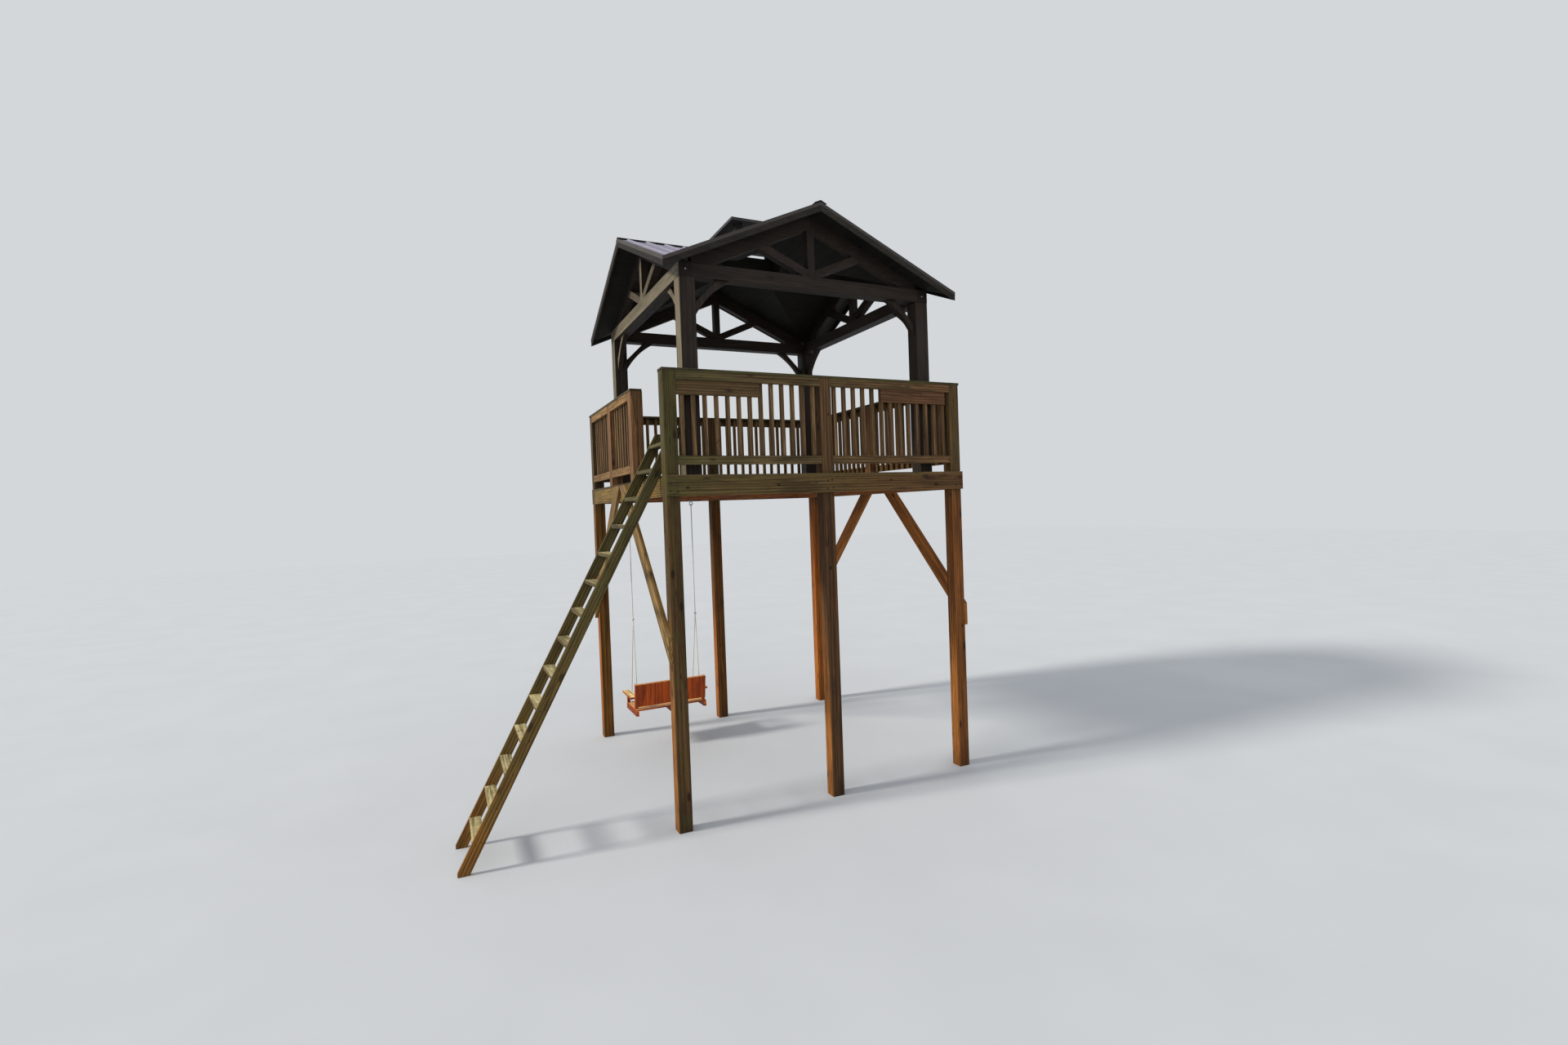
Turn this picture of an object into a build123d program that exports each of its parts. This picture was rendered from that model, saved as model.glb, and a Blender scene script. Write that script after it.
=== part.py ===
from build123d import *
from math import cos, hypot, radians, sin, sqrt, tan
import os

os.makedirs("parts", exist_ok=True)

# Frame: the origin is the middle of the front middle post's foot. +X is to the right as one
# faces the front railing, +Y runs to the back and +Z is up. All lengths are in millimetres.

# Lumber sections
post_size = 140.0
post_chamfer = 4.0
framing_thick = 38.0
framing_depth = 184.0
rail_depth = 89.0
baluster_size = 38.0
decking_width = 140.0
decking_thick = 25.0
decking_gap = 4.0

# Platform: six posts from the ground to the railing's cap
platform_width = 3658.0
platform_depth = 3658.0
rim_underside = 3350.0
joist_pitch_nominal = 445.0
joist_from_centre = 180.0
outer_joist_inset = 40.0
post_notch_clearance = 3.0

# Side braces of the platform, boards at 45 degrees
brace_width = 184.0

# Railing
railing_height = 1061.0
cap_width = 140.0
cap_thick = 26.0
cap_overhang = 6.0
cap_chamfer = 3.0
bottom_rail_gap = 103.0
baluster_pitch = 124.0
opening_width = 1130.0
left_middle_post_at = 2430.0
sign_width = 140.0
sign_thick = 19.0
sign_length = 910.0
sign_below_rail = 5.0
right_sign_end_gap = 48.0

# Pavilion standing on the deck
pavilion_side_inset = 274.0
pavilion_setback = 185.0
pavilion_back_inset = 363.0
timber_size = 146.0
timber_chamfer = 5.0
tie_beam_underside = 5602.0
truss_timber = 89.0
rafter_depth = 140.0
joint_gap = 2.0
strut_reach = 590.0
strut_foot_rise = 32.0
knee_thick = 64.0
knee_straight_leg = 265.0
knee_curved_leg = 470.0
knee_curve_depth = 44.5

# Cross-gable roof
roof_pitch = 23.94
roof_overhang = 234.0
roof_boards_thick = 38.0
roof_metal_thick = 2.0
rib_height = 19.0
rib_base_width = 45.0
rib_top_width = 22.0
rib_pitch = 229.0
rib_edge_space = 75.0
ridge_gap = 6.0
ridge_cap_width = 130.0
rake_board_thick = 19.0
rake_board_width = 86.0
rake_trim_face_width = 30.0
rake_trim_top_width = 45.0

# Raised vent over the crossing of the ridges
curb_size = 900.0
curb_above_ridge = 145.0
vent_gap = 71.0
vent_block_size = 89.0
vent_block_inset = 22.0
vent_cap_size = 944.0
vent_cap_thick = 38.0
vent_cap_chamfer = 4.0

# Ladder leaning on the left edge of the deck
ladder_angle = 61.9
ladder_width = 658.0
ladder_setback = 40.0
ladder_above_deck = 490.0
ladder_seat_clearance = 0.3
first_tread_top = 283.0
tread_rise = 280.0
tread_depth = 89.0
tread_count = 14

# Bench swing hung from the outermost left joist and one nearer the middle
swing_y = 2785.0
swing_joist_bays_count = 2
bench_end_overhang = 50.5
bench_back_edge = 2610.0
seat_top = 550.0
seat_slat_width = 95.0
seat_slat_thick = 19.0
seat_slat_gap = 6.0
seat_slat_count = 5
bearer_height = 64.0
bearer_overhang = 14.0
back_height = 345.0
back_above_seat = 36.0
back_recline = 8.0
back_setback = 45.0
back_slat_thick = 19.0
back_slat_width = 87.0
back_slat_count = 11
back_batten_height = 45.0
back_batten_thick = 22.0
stile_size = 38.0
arm_width = 92.0
arm_thick = 25.0
arm_height = 165.0
arm_overhang = 30.0
arm_rope_clearance = 4.0
rope_dia = 12.0
rope_hole_clearance = 1.0
rope_split_height = 1750.0
rope_back_inset = 88.0
rope_front_inset = 50.0
rope_knot_dia = 34.0
seat_knot_dia = 24.0
seat_clearance = 0.3

# Swing hangers, a ring on a plate under each joist
hanger_plate_thick = 6.0
hanger_plate_length = 90.0
hanger_neck_length = 12.0
hanger_bar_dia = 10.0
hanger_ring_mean_dia = 48.0
hanger_pin_clearance = 0.5

# Places that follow from the sizes
half_width = platform_width / 2
front_face = -post_size / 2
back_face = front_face + platform_depth
rim_top = rim_underside + framing_depth
deck_top = rim_top + decking_thick
cap_top = deck_top + railing_height
cap_underside = cap_top - cap_thick
post_x = half_width - post_size / 2
back_post_y = back_face - post_size / 2
opening_start = front_face + post_size
opening_end = opening_start + opening_width
left_end_post_y = opening_end + post_size / 2
left_middle_post_y = front_face + left_middle_post_at
right_middle_post_y = (front_face + back_face) / 2
top_rail_bottom = cap_underside - rail_depth
bottom_rail_bottom = deck_top + bottom_rail_gap

# The pavilion is square: the largest square that keeps its distances from the deck's edges
pavilion_size = min(platform_width - 2 * pavilion_side_inset,
                    platform_depth - pavilion_setback - pavilion_back_inset)
pavilion_y = front_face + pavilion_setback + pavilion_size / 2
pavilion_half = pavilion_size / 2
pavilion_post_at = pavilion_half - timber_size / 2
tie_beam_top = tie_beam_underside + timber_size

roof_slope = tan(radians(roof_pitch))
upright = 1 / cos(radians(roof_pitch))
roof_half = pavilion_half + roof_overhang
boards_half = roof_half - rake_board_thick
ridge_underside = tie_beam_top + roof_slope * pavilion_half
ridge_boards_top = ridge_underside + roof_boards_thick * upright
ridge_metal_top = ridge_boards_top + roof_metal_thick * upright
curb_half = curb_size / 2
trim_half = roof_half + roof_metal_thick
curb_top = ridge_metal_top + curb_above_ridge
vent_cap_underside = curb_top + vent_gap

GABLES = (0, 90, 180, 270)


def gable_plane(turn, distance):
    """The upright plane of a gable: 0 front, 90 right, 180 back, 270 left.

    Its x runs along the side, its y is the height above the ground, and it lies at a distance
    from the pavilion's centre, facing outwards.
    """
    across = Vector(cos(radians(turn)), sin(radians(turn)), 0)
    outward = Vector(sin(radians(turn)), -cos(radians(turn)), 0)
    origin = Vector(0, pavilion_y, 0) + outward * distance
    return Plane(origin=origin, x_dir=across, z_dir=outward)


def gables(distance):
    """The planes of all four gables at one distance from the pavilion's centre."""
    return [gable_plane(turn, distance) for turn in GABLES]


def plan_plane(turn, height):
    """A level plane at the pavilion's centre, turned so that its -y points at the gable."""
    across = Vector(cos(radians(turn)), sin(radians(turn)), 0)
    return Plane(origin=(0, pavilion_y, height), x_dir=across, z_dir=(0, 0, 1))


def below(ridge, distance):
    """The height of a roof surface at a level distance from its ridge."""
    return ridge - roof_slope * distance


def rail_pair(plane_at, bay):
    """The bottom and top rail of one railing bay, on edge between two posts."""
    with BuildSketch(plane_at) as rails:
        with Locations((0, bottom_rail_bottom + rail_depth / 2),
                       (0, top_rail_bottom + rail_depth / 2)):
            Rectangle(bay, rail_depth)
    return rails.sketch


def baluster_row(plane_at, bay):
    """The balusters behind the rails of one railing bay, spread about its middle."""
    count = max(int(bay / baluster_pitch), 1)
    panel_height = top_rail_bottom + rail_depth - bottom_rail_bottom
    with BuildSketch(plane_at.offset(framing_thick)) as row:
        with Locations((0, bottom_rail_bottom + panel_height / 2)):
            with GridLocations(baluster_pitch, 0, count, 1):
                Rectangle(baluster_size, panel_height)
    return row.sketch


def wedge(turn, reach):
    """The plan triangle of one gable, from the crossing out to its two low corners."""
    with BuildSketch(plan_plane(turn, tie_beam_underside)) as plan:
        with BuildLine():
            Polyline((0, 0), (reach, -reach), (-reach, -reach), close=True)
        make_face()
    return plan.sketch


def chevron(turn, distance, ridge, half, thick):
    """An upright band under a gable's ridge, as thick as given and as wide as two halves."""
    with BuildSketch(gable_plane(turn, distance)) as band:
        with BuildLine():
            Polyline((0, ridge), (half, below(ridge, half)),
                     (half, below(ridge, half) + thick * upright),
                     (0, ridge + thick * upright),
                     (-half, below(ridge, half) + thick * upright),
                     (-half, below(ridge, half)), close=True)
        make_face()
    return band.sketch


def mitred_sides(hand):
    """The plan of one hand's half of every gable, between the crossing and the eaves' corners."""
    with BuildSketch(*[plan_plane(turn, 0) for turn in GABLES]) as sides:
        with BuildLine():
            Polyline((0, -curb_half), (0, -trim_half), (hand * trim_half, -trim_half),
                     (hand * curb_half, -curb_half), close=True)
        make_face()
    return sides.sketch


def put_out(builder, name):
    """Label a finished piece and write it as a STEP file."""
    builder.part.label = name
    export_step(builder.part, f"parts/{name}.step")


# Deck posts, whole from the ground to the underside of the railing's cap
for row, row_y in (("front", 0.0), ("back", back_post_y)):
    with BuildPart() as deck_posts:
        with BuildSketch(Plane.XY):
            with Locations((-post_x, row_y), (0, row_y), (post_x, row_y)):
                Rectangle(post_size, post_size)
        extrude(amount=cap_underside)
        chamfer(deck_posts.edges().filter_by(Axis.Z), length=post_chamfer)
    put_out(deck_posts, f"posts_{row}")

# Short rail posts that stand on the deck
with BuildPart() as rail_posts:
    with BuildSketch(Plane.XY.offset(deck_top)):
        with Locations((-post_x, left_end_post_y), (-post_x, left_middle_post_y),
                       (post_x, right_middle_post_y)):
            Rectangle(post_size, post_size)
    extrude(amount=cap_underside - deck_top)
    chamfer(rail_posts.edges().filter_by(Axis.Z), length=post_chamfer)
put_out(rail_posts, "rail_posts")

# Front and back rim boards nailed to the outside of the posts
for name, rim_y in (("rim_front", front_face - framing_thick / 2),
                    ("rim_back", back_face + framing_thick / 2)):
    with BuildPart() as rim:
        with BuildSketch(Plane.XY.offset(rim_underside)):
            with Locations((0, rim_y)):
                Rectangle(platform_width, framing_thick)
        extrude(amount=framing_depth)
    put_out(rim, name)

# Side rim boards between the corner posts, flush with the posts' outer faces
platform_mid_y = (front_face + back_face) / 2
for name, side in (("rim_left", -1), ("rim_right", 1)):
    with BuildPart() as rim:
        with BuildSketch(Plane.XY.offset(rim_underside)):
            with Locations((side * (half_width - framing_thick / 2), platform_mid_y)):
                Rectangle(framing_thick, platform_depth - 2 * post_size)
        extrude(amount=framing_depth)
    put_out(rim, name)

# Joists from the front rim to the back rim, the outermost ones under the pavilion's posts
joist_span = pavilion_half - outer_joist_inset - joist_from_centre
joist_bays = round(joist_span / joist_pitch_nominal)
joist_pitch = joist_span / joist_bays
joist_places = [side * (joist_from_centre + k * joist_pitch)
                for side in (-1, 1) for k in range(joist_bays + 1)]
with BuildPart() as joists:
    with BuildSketch(Plane.XY.offset(rim_underside)):
        with Locations(*[(x, platform_mid_y) for x in joist_places]):
            Rectangle(framing_thick, platform_depth)
    extrude(amount=framing_depth)
put_out(joists, "joists")

# Decking laid across the joists, flush with the rims and notched round the posts
deck_depth = platform_depth + 2 * framing_thick
board_count = round((deck_depth + decking_gap) / (decking_width + decking_gap))
board_pitch = (deck_depth - decking_width) / (board_count - 1)
notch = post_size + 2 * post_notch_clearance
with BuildPart() as deck_boards:
    with BuildSketch(Plane.XY.offset(rim_top)):
        with Locations((0, platform_mid_y)):
            with GridLocations(0, board_pitch, 1, board_count):
                Rectangle(platform_width, decking_width)
        with Locations(*[(x, y) for x in (-post_x, 0, post_x) for y in (0, back_post_y)]):
            Rectangle(notch, notch, mode=Mode.SUBTRACT)
    extrude(amount=decking_thick)
put_out(deck_boards, "deck_boards")


# Braces nailed outside the posts and the side rims: each is cut plumb at its corner post's
# outer face and level at the rim's top, where the two of a side meet in the middle
brace_reach = (platform_depth - joint_gap) / 2
brace_level = brace_width * sqrt(2)
for name, brace_x in (("braces_left", -half_width - framing_thick), ("braces_right", half_width)):
    with BuildPart() as braces:
        for start, direction in ((front_face, 1), (back_face, -1)):
            with BuildSketch(Plane.YZ.offset(brace_x)):
                with BuildLine():
                    Polyline((start, rim_top - brace_reach),
                             (start + direction * brace_reach, rim_top),
                             (start + direction * (brace_reach - brace_level), rim_top),
                             (start, rim_top - brace_reach + brace_level), close=True)
                make_face()
            extrude(amount=framing_thick)
    put_out(braces, name)

# Railing panels: two rails on edge between the posts, with square balusters behind them
wide_bay = post_x - post_size
with BuildPart() as railing_front:
    for bay_x in (-post_x / 2, post_x / 2):
        face = Plane(origin=(bay_x, front_face, 0), x_dir=(-1, 0, 0), z_dir=(0, 1, 0))
        extrude(rail_pair(face, wide_bay), amount=framing_thick)
        extrude(baluster_row(face, wide_bay), amount=baluster_size)
put_out(railing_front, "railing_front")

with BuildPart() as railing_back:
    for bay_x in (-post_x / 2, post_x / 2):
        face = Plane(origin=(bay_x, back_face, 0), x_dir=(1, 0, 0), z_dir=(0, -1, 0))
        extrude(rail_pair(face, wide_bay), amount=framing_thick)
        extrude(baluster_row(face, wide_bay), amount=baluster_size)
put_out(railing_back, "railing_back")

left_bays = ((opening_end + post_size, left_middle_post_y - post_size / 2),
             (left_middle_post_y + post_size / 2, back_face - post_size))
with BuildPart() as railing_left:
    for bay_start, bay_end in left_bays:
        face = Plane(origin=(-half_width, (bay_start + bay_end) / 2, 0),
                     x_dir=(0, 1, 0), z_dir=(1, 0, 0))
        extrude(rail_pair(face, bay_end - bay_start), amount=framing_thick)
        extrude(baluster_row(face, bay_end - bay_start), amount=baluster_size)
put_out(railing_left, "railing_left")

right_bays = ((front_face + post_size, right_middle_post_y - post_size / 2),
              (right_middle_post_y + post_size / 2, back_face - post_size))
with BuildPart() as railing_right:
    for bay_start, bay_end in right_bays:
        face = Plane(origin=(half_width, (bay_start + bay_end) / 2, 0),
                     x_dir=(0, -1, 0), z_dir=(-1, 0, 0))
        extrude(rail_pair(face, bay_end - bay_start), amount=framing_thick)
        extrude(baluster_row(face, bay_end - bay_start), amount=baluster_size)
put_out(railing_right, "railing_right")

# Flat caps over the posts and rails; the side caps butt against the front and back ones
cap_front_y = front_face - cap_overhang + cap_width / 2
cap_back_y = back_face + cap_overhang - cap_width / 2
cap_side_x = half_width + cap_overhang - cap_width / 2
with BuildPart() as caps_front_back:
    with BuildSketch(Plane.XY.offset(cap_underside)):
        with Locations((0, cap_front_y), (0, cap_back_y)):
            Rectangle(platform_width + 2 * cap_overhang, cap_width)
    extrude(amount=cap_thick)
    chamfer(caps_front_back.faces().sort_by(Axis.Z)[-2:].edges(), length=cap_chamfer)
put_out(caps_front_back, "rail_caps_front_back")

cap_front_edge = cap_front_y + cap_width / 2
cap_back_edge = cap_back_y - cap_width / 2
left_cap_start = opening_end - cap_overhang / 2
with BuildPart() as caps_sides:
    with BuildSketch(Plane.XY.offset(cap_underside)):
        with Locations((-cap_side_x, (left_cap_start + cap_back_edge) / 2)):
            Rectangle(cap_width, cap_back_edge - left_cap_start)
        with Locations((cap_side_x, (cap_front_edge + cap_back_edge) / 2)):
            Rectangle(cap_width, cap_back_edge - cap_front_edge)
    extrude(amount=cap_thick)
    chamfer(caps_sides.faces().sort_by(Axis.Z)[-2:].edges(), length=cap_chamfer)
put_out(caps_sides, "rail_caps_sides")

# Bare boards fixed to the front balusters under the top rail
sign_left_x = -half_width + post_size + sign_length / 2
sign_right_x = half_width - post_size - right_sign_end_gap - sign_length / 2
sign_z = top_rail_bottom - sign_below_rail - sign_width / 2
with BuildPart() as sign_boards:
    with BuildSketch(Plane.XZ.offset(-(front_face + framing_thick))):
        with Locations((sign_left_x, sign_z), (sign_right_x, sign_z)):
            Rectangle(sign_length, sign_width)
    extrude(amount=sign_thick)
put_out(sign_boards, "sign_boards")

# Pavilion posts
with BuildPart() as pavilion_posts:
    with BuildSketch(Plane.XY.offset(deck_top)):
        with Locations((0, pavilion_y)):
            with GridLocations(2 * pavilion_post_at, 2 * pavilion_post_at, 2, 2):
                Rectangle(timber_size, timber_size)
    extrude(amount=tie_beam_underside - deck_top)
    chamfer(pavilion_posts.edges().filter_by(Axis.Z), length=timber_chamfer)
put_out(pavilion_posts, "pavilion_posts")

# Tie beams on the posts: the side beams run through and the others fit between them
for name, turn in (("tie_beam_left", 270), ("tie_beam_right", 90)):
    with BuildPart() as tie_beam:
        with BuildSketch(gable_plane(turn, pavilion_half)):
            with Locations((0, tie_beam_underside + timber_size / 2)):
                Rectangle(pavilion_size, timber_size)
        extrude(amount=-timber_size)
    put_out(tie_beam, name)
for name, turn in (("tie_beam_front", 0), ("tie_beam_back", 180)):
    with BuildPart() as tie_beam:
        with BuildSketch(gable_plane(turn, pavilion_half)):
            with Locations((0, tie_beam_underside + timber_size / 2)):
                Rectangle(pavilion_size - 2 * timber_size, timber_size)
        extrude(amount=-timber_size)
    put_out(tie_beam, name)

# Curved knee braces from every post up to both of its beams
knee_from_centre = pavilion_half - timber_size
knee_mid = (knee_curved_leg - knee_curve_depth * sqrt(2)) / 2
knee_set_in = (timber_size - knee_thick) / 2
with BuildPart() as knee_braces:
    with BuildSketch(*gables(pavilion_half - knee_set_in)):
        for hand in (-1, 1):
            corner = hand * knee_from_centre
            with BuildLine():
                Polyline((corner, tie_beam_underside - knee_curved_leg),
                         (corner, tie_beam_underside - knee_straight_leg),
                         (corner - hand * knee_straight_leg, tie_beam_underside),
                         (corner - hand * knee_curved_leg, tie_beam_underside))
                ThreePointArc((corner - hand * knee_curved_leg, tie_beam_underside),
                              (corner - hand * knee_mid, tie_beam_underside - knee_mid),
                              (corner, tie_beam_underside - knee_curved_leg))
            make_face()
    extrude(amount=-knee_thick)
put_out(knee_braces, "knee_braces")

# Gable trusses over the tie beams: king post, two struts and two rafters in each gable
truss_face = pavilion_half - (timber_size - truss_timber) / 2
rafter_bottom_ridge = ridge_underside - rafter_depth * upright
king_half = truss_timber / 2
with BuildPart() as king_posts:
    with BuildSketch(*gables(truss_face)):
        with BuildLine():
            Polyline((-king_half, tie_beam_top), (king_half, tie_beam_top),
                     (king_half, below(rafter_bottom_ridge, king_half)),
                     (0, rafter_bottom_ridge),
                     (-king_half, below(rafter_bottom_ridge, king_half)), close=True)
        make_face()
    extrude(amount=-truss_timber)
put_out(king_posts, "king_posts")

rafter_heel = pavilion_half - timber_size
rafter_seat = (rafter_bottom_ridge - tie_beam_top) / roof_slope
with BuildPart() as truss_rafters:
    with BuildSketch(*gables(truss_face)):
        for hand in (-1, 1):
            with BuildLine():
                Polyline((hand * joint_gap / 2, below(rafter_bottom_ridge, joint_gap / 2)),
                         (hand * joint_gap / 2, below(ridge_underside, joint_gap / 2)),
                         (hand * rafter_heel, below(ridge_underside, rafter_heel)),
                         (hand * rafter_heel, tie_beam_top),
                         (hand * rafter_seat, tie_beam_top), close=True)
            make_face()
    extrude(amount=-truss_timber)
put_out(truss_rafters, "truss_rafters")

strut_foot = tie_beam_top + strut_foot_rise
strut_head = below(rafter_bottom_ridge, strut_reach)
strut_rise = (strut_head - strut_foot) / (strut_reach - king_half)
strut_half = truss_timber * hypot(1, strut_rise) / 2
strut_low = strut_foot - strut_half - strut_rise * king_half
strut_high = strut_foot + strut_half - strut_rise * king_half
low_reach = (rafter_bottom_ridge - strut_low) / (strut_rise + roof_slope)
high_reach = (rafter_bottom_ridge - strut_high) / (strut_rise + roof_slope)
with BuildPart() as truss_struts:
    with BuildSketch(*gables(truss_face)):
        for hand in (-1, 1):
            with BuildLine():
                Polyline((hand * king_half, strut_foot - strut_half),
                         (hand * low_reach, below(rafter_bottom_ridge, low_reach)),
                         (hand * high_reach, below(rafter_bottom_ridge, high_reach)),
                         (hand * king_half, strut_foot + strut_half), close=True)
            make_face()
        with Locations((0, tie_beam_top - timber_size / 2)):
            Rectangle(pavilion_size, timber_size, mode=Mode.SUBTRACT)
    extrude(amount=-truss_timber)
put_out(truss_struts, "truss_struts")

# Board slopes of the cross gable, mitred to one another along the four valleys
with BuildSketch(plan_plane(0, tie_beam_underside)) as curb_plan:
    Rectangle(curb_size, curb_size)
for name, turns in (("roof_boards_front_back", (0, 180)), ("roof_boards_sides", (90, 270))):
    with BuildPart() as roof_slopes:
        for turn in turns:
            extrude(wedge(turn, boards_half), amount=curb_top - tie_beam_underside)
        extrude(chevron(turns[0], 0, ridge_underside, boards_half, roof_boards_thick),
                amount=boards_half, both=True, mode=Mode.INTERSECT)
        extrude(curb_plan.sketch, amount=curb_top, mode=Mode.SUBTRACT)
        with BuildSketch(plan_plane(turns[0], tie_beam_underside)):
            Rectangle(ridge_gap, 2 * boards_half)
        extrude(amount=curb_top, mode=Mode.SUBTRACT)
    put_out(roof_slopes, name)

# Ribbed metal over the boards: each sheet is one profile run down its slope
rib_count = int((boards_half - rib_edge_space - rib_base_width) / rib_pitch) + 1
for name, turns in (("roof_metal_front_back", (0, 180)), ("roof_metal_sides", (90, 270))):
    with BuildPart() as roof_sheets:
        for turn in turns:
            for hand in (-1, 1):
                gable = gable_plane(turn, 0)
                top = gable.from_local_coords(
                    Vector(hand * joint_gap / 2, below(ridge_boards_top, joint_gap / 2), 0))
                down = gable.x_dir * hand - gable.y_dir * roof_slope
                slope_plane = Plane(origin=top, x_dir=gable.z_dir, z_dir=down)
                up = 1 if slope_plane.y_dir.Z > 0 else -1
                with BuildSketch(slope_plane):
                    with Locations((boards_half / 2, up * roof_metal_thick / 2)):
                        Rectangle(boards_half, roof_metal_thick)
                    for k in range(rib_count):
                        rib_at = boards_half - rib_edge_space - rib_base_width / 2 - k * rib_pitch
                        with BuildLine():
                            Polyline((rib_at - rib_base_width / 2, up * roof_metal_thick / 2),
                                     (rib_at + rib_base_width / 2, up * roof_metal_thick / 2),
                                     (rib_at + rib_top_width / 2, up * rib_height),
                                     (rib_at - rib_top_width / 2, up * rib_height), close=True)
                        make_face()
                extrude(amount=boards_half * upright)
        with BuildSketch(plan_plane(turns[0], tie_beam_underside)):
            with BuildLine():
                Polyline((ridge_gap / 2, -ridge_gap / 2), (boards_half, -boards_half),
                         (ridge_gap / 2, -boards_half), close=True)
            make_face()
            mirror(about=Plane.YZ)
            mirror(about=Plane.XZ)
        extrude(amount=curb_top, mode=Mode.INTERSECT)
        extrude(curb_plan.sketch, amount=curb_top, mode=Mode.SUBTRACT)
    put_out(roof_sheets, name)

# Folded caps along the four ridges, resting on the ribs
ridge_cap_bottom = ridge_boards_top + rib_height * upright
with BuildPart() as ridge_caps:
    for turn in GABLES:
        extrude(chevron(turn, trim_half, ridge_cap_bottom, ridge_cap_width, roof_metal_thick),
                amount=-(trim_half - curb_half))
put_out(ridge_caps, "ridge_caps")

# Rake boards along the gable edges, mitred at the low corners
rake_upright = rake_board_width * upright
for name, hand in (("rake_boards_left_hand", -1), ("rake_boards_right_hand", 1)):
    with BuildPart() as rake_boards:
        with BuildSketch(*gables(roof_half)):
            with BuildLine():
                Polyline((0, ridge_boards_top),
                         (hand * roof_half, below(ridge_boards_top, roof_half)),
                         (hand * roof_half, below(ridge_boards_top, roof_half) - rake_upright),
                         (0, ridge_boards_top - rake_upright), close=True)
            make_face()
        extrude(amount=-rake_board_thick)
        extrude(mitred_sides(hand), amount=2 * curb_top, mode=Mode.INTERSECT)
    put_out(rake_boards, name)

# Metal edge trim over the rake boards: a face leg outside and a top leg on the sheets
for name, hand in (("rake_trim_left_hand", -1), ("rake_trim_right_hand", 1)):
    with BuildPart() as rake_trim:
        with BuildSketch(*gables(trim_half)):
            with BuildLine():
                Polyline((0, ridge_metal_top + roof_metal_thick * upright),
                         (hand * trim_half, below(ridge_metal_top, trim_half)
                          + roof_metal_thick * upright),
                         (hand * trim_half, below(ridge_boards_top, trim_half)
                          - rake_trim_face_width * upright),
                         (0, ridge_boards_top - rake_trim_face_width * upright), close=True)
            make_face()
        extrude(amount=-roof_metal_thick)
        with BuildSketch(*gables(roof_half)):
            with BuildLine():
                Polyline((0, ridge_metal_top + roof_metal_thick * upright),
                         (hand * trim_half, below(ridge_metal_top, trim_half)
                          + roof_metal_thick * upright),
                         (hand * trim_half, below(ridge_metal_top, trim_half)),
                         (0, ridge_metal_top), close=True)
            make_face()
        extrude(amount=-rake_trim_top_width)
        extrude(mitred_sides(hand), amount=2 * curb_top, mode=Mode.INTERSECT)
    put_out(rake_trim, name)

# Vent curb: a square box through the roof whose lower edge follows the underside, with a
# block on each corner that carries the cap
block_spacing = curb_size - 2 * vent_block_inset - vent_block_size
with BuildPart() as vent_curb:
    with BuildSketch(plan_plane(0, tie_beam_top)):
        Rectangle(curb_size, curb_size)
        Rectangle(curb_size - 2 * framing_thick, curb_size - 2 * framing_thick,
                  mode=Mode.SUBTRACT)
    extrude(amount=curb_top - tie_beam_top)
    with BuildSketch(plan_plane(0, curb_top)):
        with GridLocations(block_spacing, block_spacing, 2, 2):
            Rectangle(vent_block_size, vent_block_size)
    extrude(amount=vent_gap)
    for turn in (0, 90):
        with BuildSketch(gable_plane(turn, 0)):
            with BuildLine():
                Polyline((-curb_size, tie_beam_underside), (curb_size, tie_beam_underside),
                         (curb_size, below(ridge_underside, curb_size)), (0, ridge_underside),
                         (-curb_size, below(ridge_underside, curb_size)), close=True)
            make_face()
        extrude(amount=curb_size, both=True, mode=Mode.SUBTRACT)
put_out(vent_curb, "vent_curb")

# Vent cap: a flat lid whose upper edge is eased all round
with BuildPart() as vent_cap:
    with BuildSketch(plan_plane(0, vent_cap_underside)):
        Rectangle(vent_cap_size, vent_cap_size)
    extrude(amount=vent_cap_thick)
    chamfer(vent_cap.faces().sort_by(Axis.Z)[-1].edges(), length=vent_cap_chamfer)
put_out(vent_cap, "vent_cap")

# Ladder: two stringers that rest on the deck's left edge, with flat treads between them
ladder_run = 1 / tan(radians(ladder_angle))
stringer_level = rail_depth / sin(radians(ladder_angle))
stringer_top = deck_top + ladder_above_deck
seat_offset = ladder_seat_clearance / sin(radians(ladder_angle))


def stringer_x(height):
    """Where a stringer's lower edge stands at a height."""
    return -half_width - seat_offset + (height - deck_top) * ladder_run


ladder_y = front_face + post_size + ladder_setback
with BuildPart() as ladder_stringers:
    for stringer_y in (ladder_y, ladder_y + ladder_width - framing_thick):
        with BuildSketch(Plane.XZ.offset(-stringer_y)):
            with BuildLine():
                Polyline((stringer_x(0), 0), (stringer_x(stringer_top), stringer_top),
                         (stringer_x(stringer_top) - stringer_level, stringer_top),
                         (stringer_x(0) - stringer_level, 0), close=True)
            make_face()
        extrude(amount=-framing_thick)
put_out(ladder_stringers, "ladder_stringers")

with BuildPart() as ladder_treads:
    for k in range(tread_count):
        tread_top = first_tread_top + k * tread_rise
        tread_x = stringer_x(tread_top - framing_thick / 2) - stringer_level / 2
        with BuildSketch(Plane.XZ.offset(-(ladder_y + framing_thick))):
            with Locations((tread_x, tread_top - framing_thick / 2)):
                Rectangle(tread_depth, framing_thick)
        extrude(amount=-(ladder_width - 2 * framing_thick))
put_out(ladder_treads, "ladder_treads")

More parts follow.
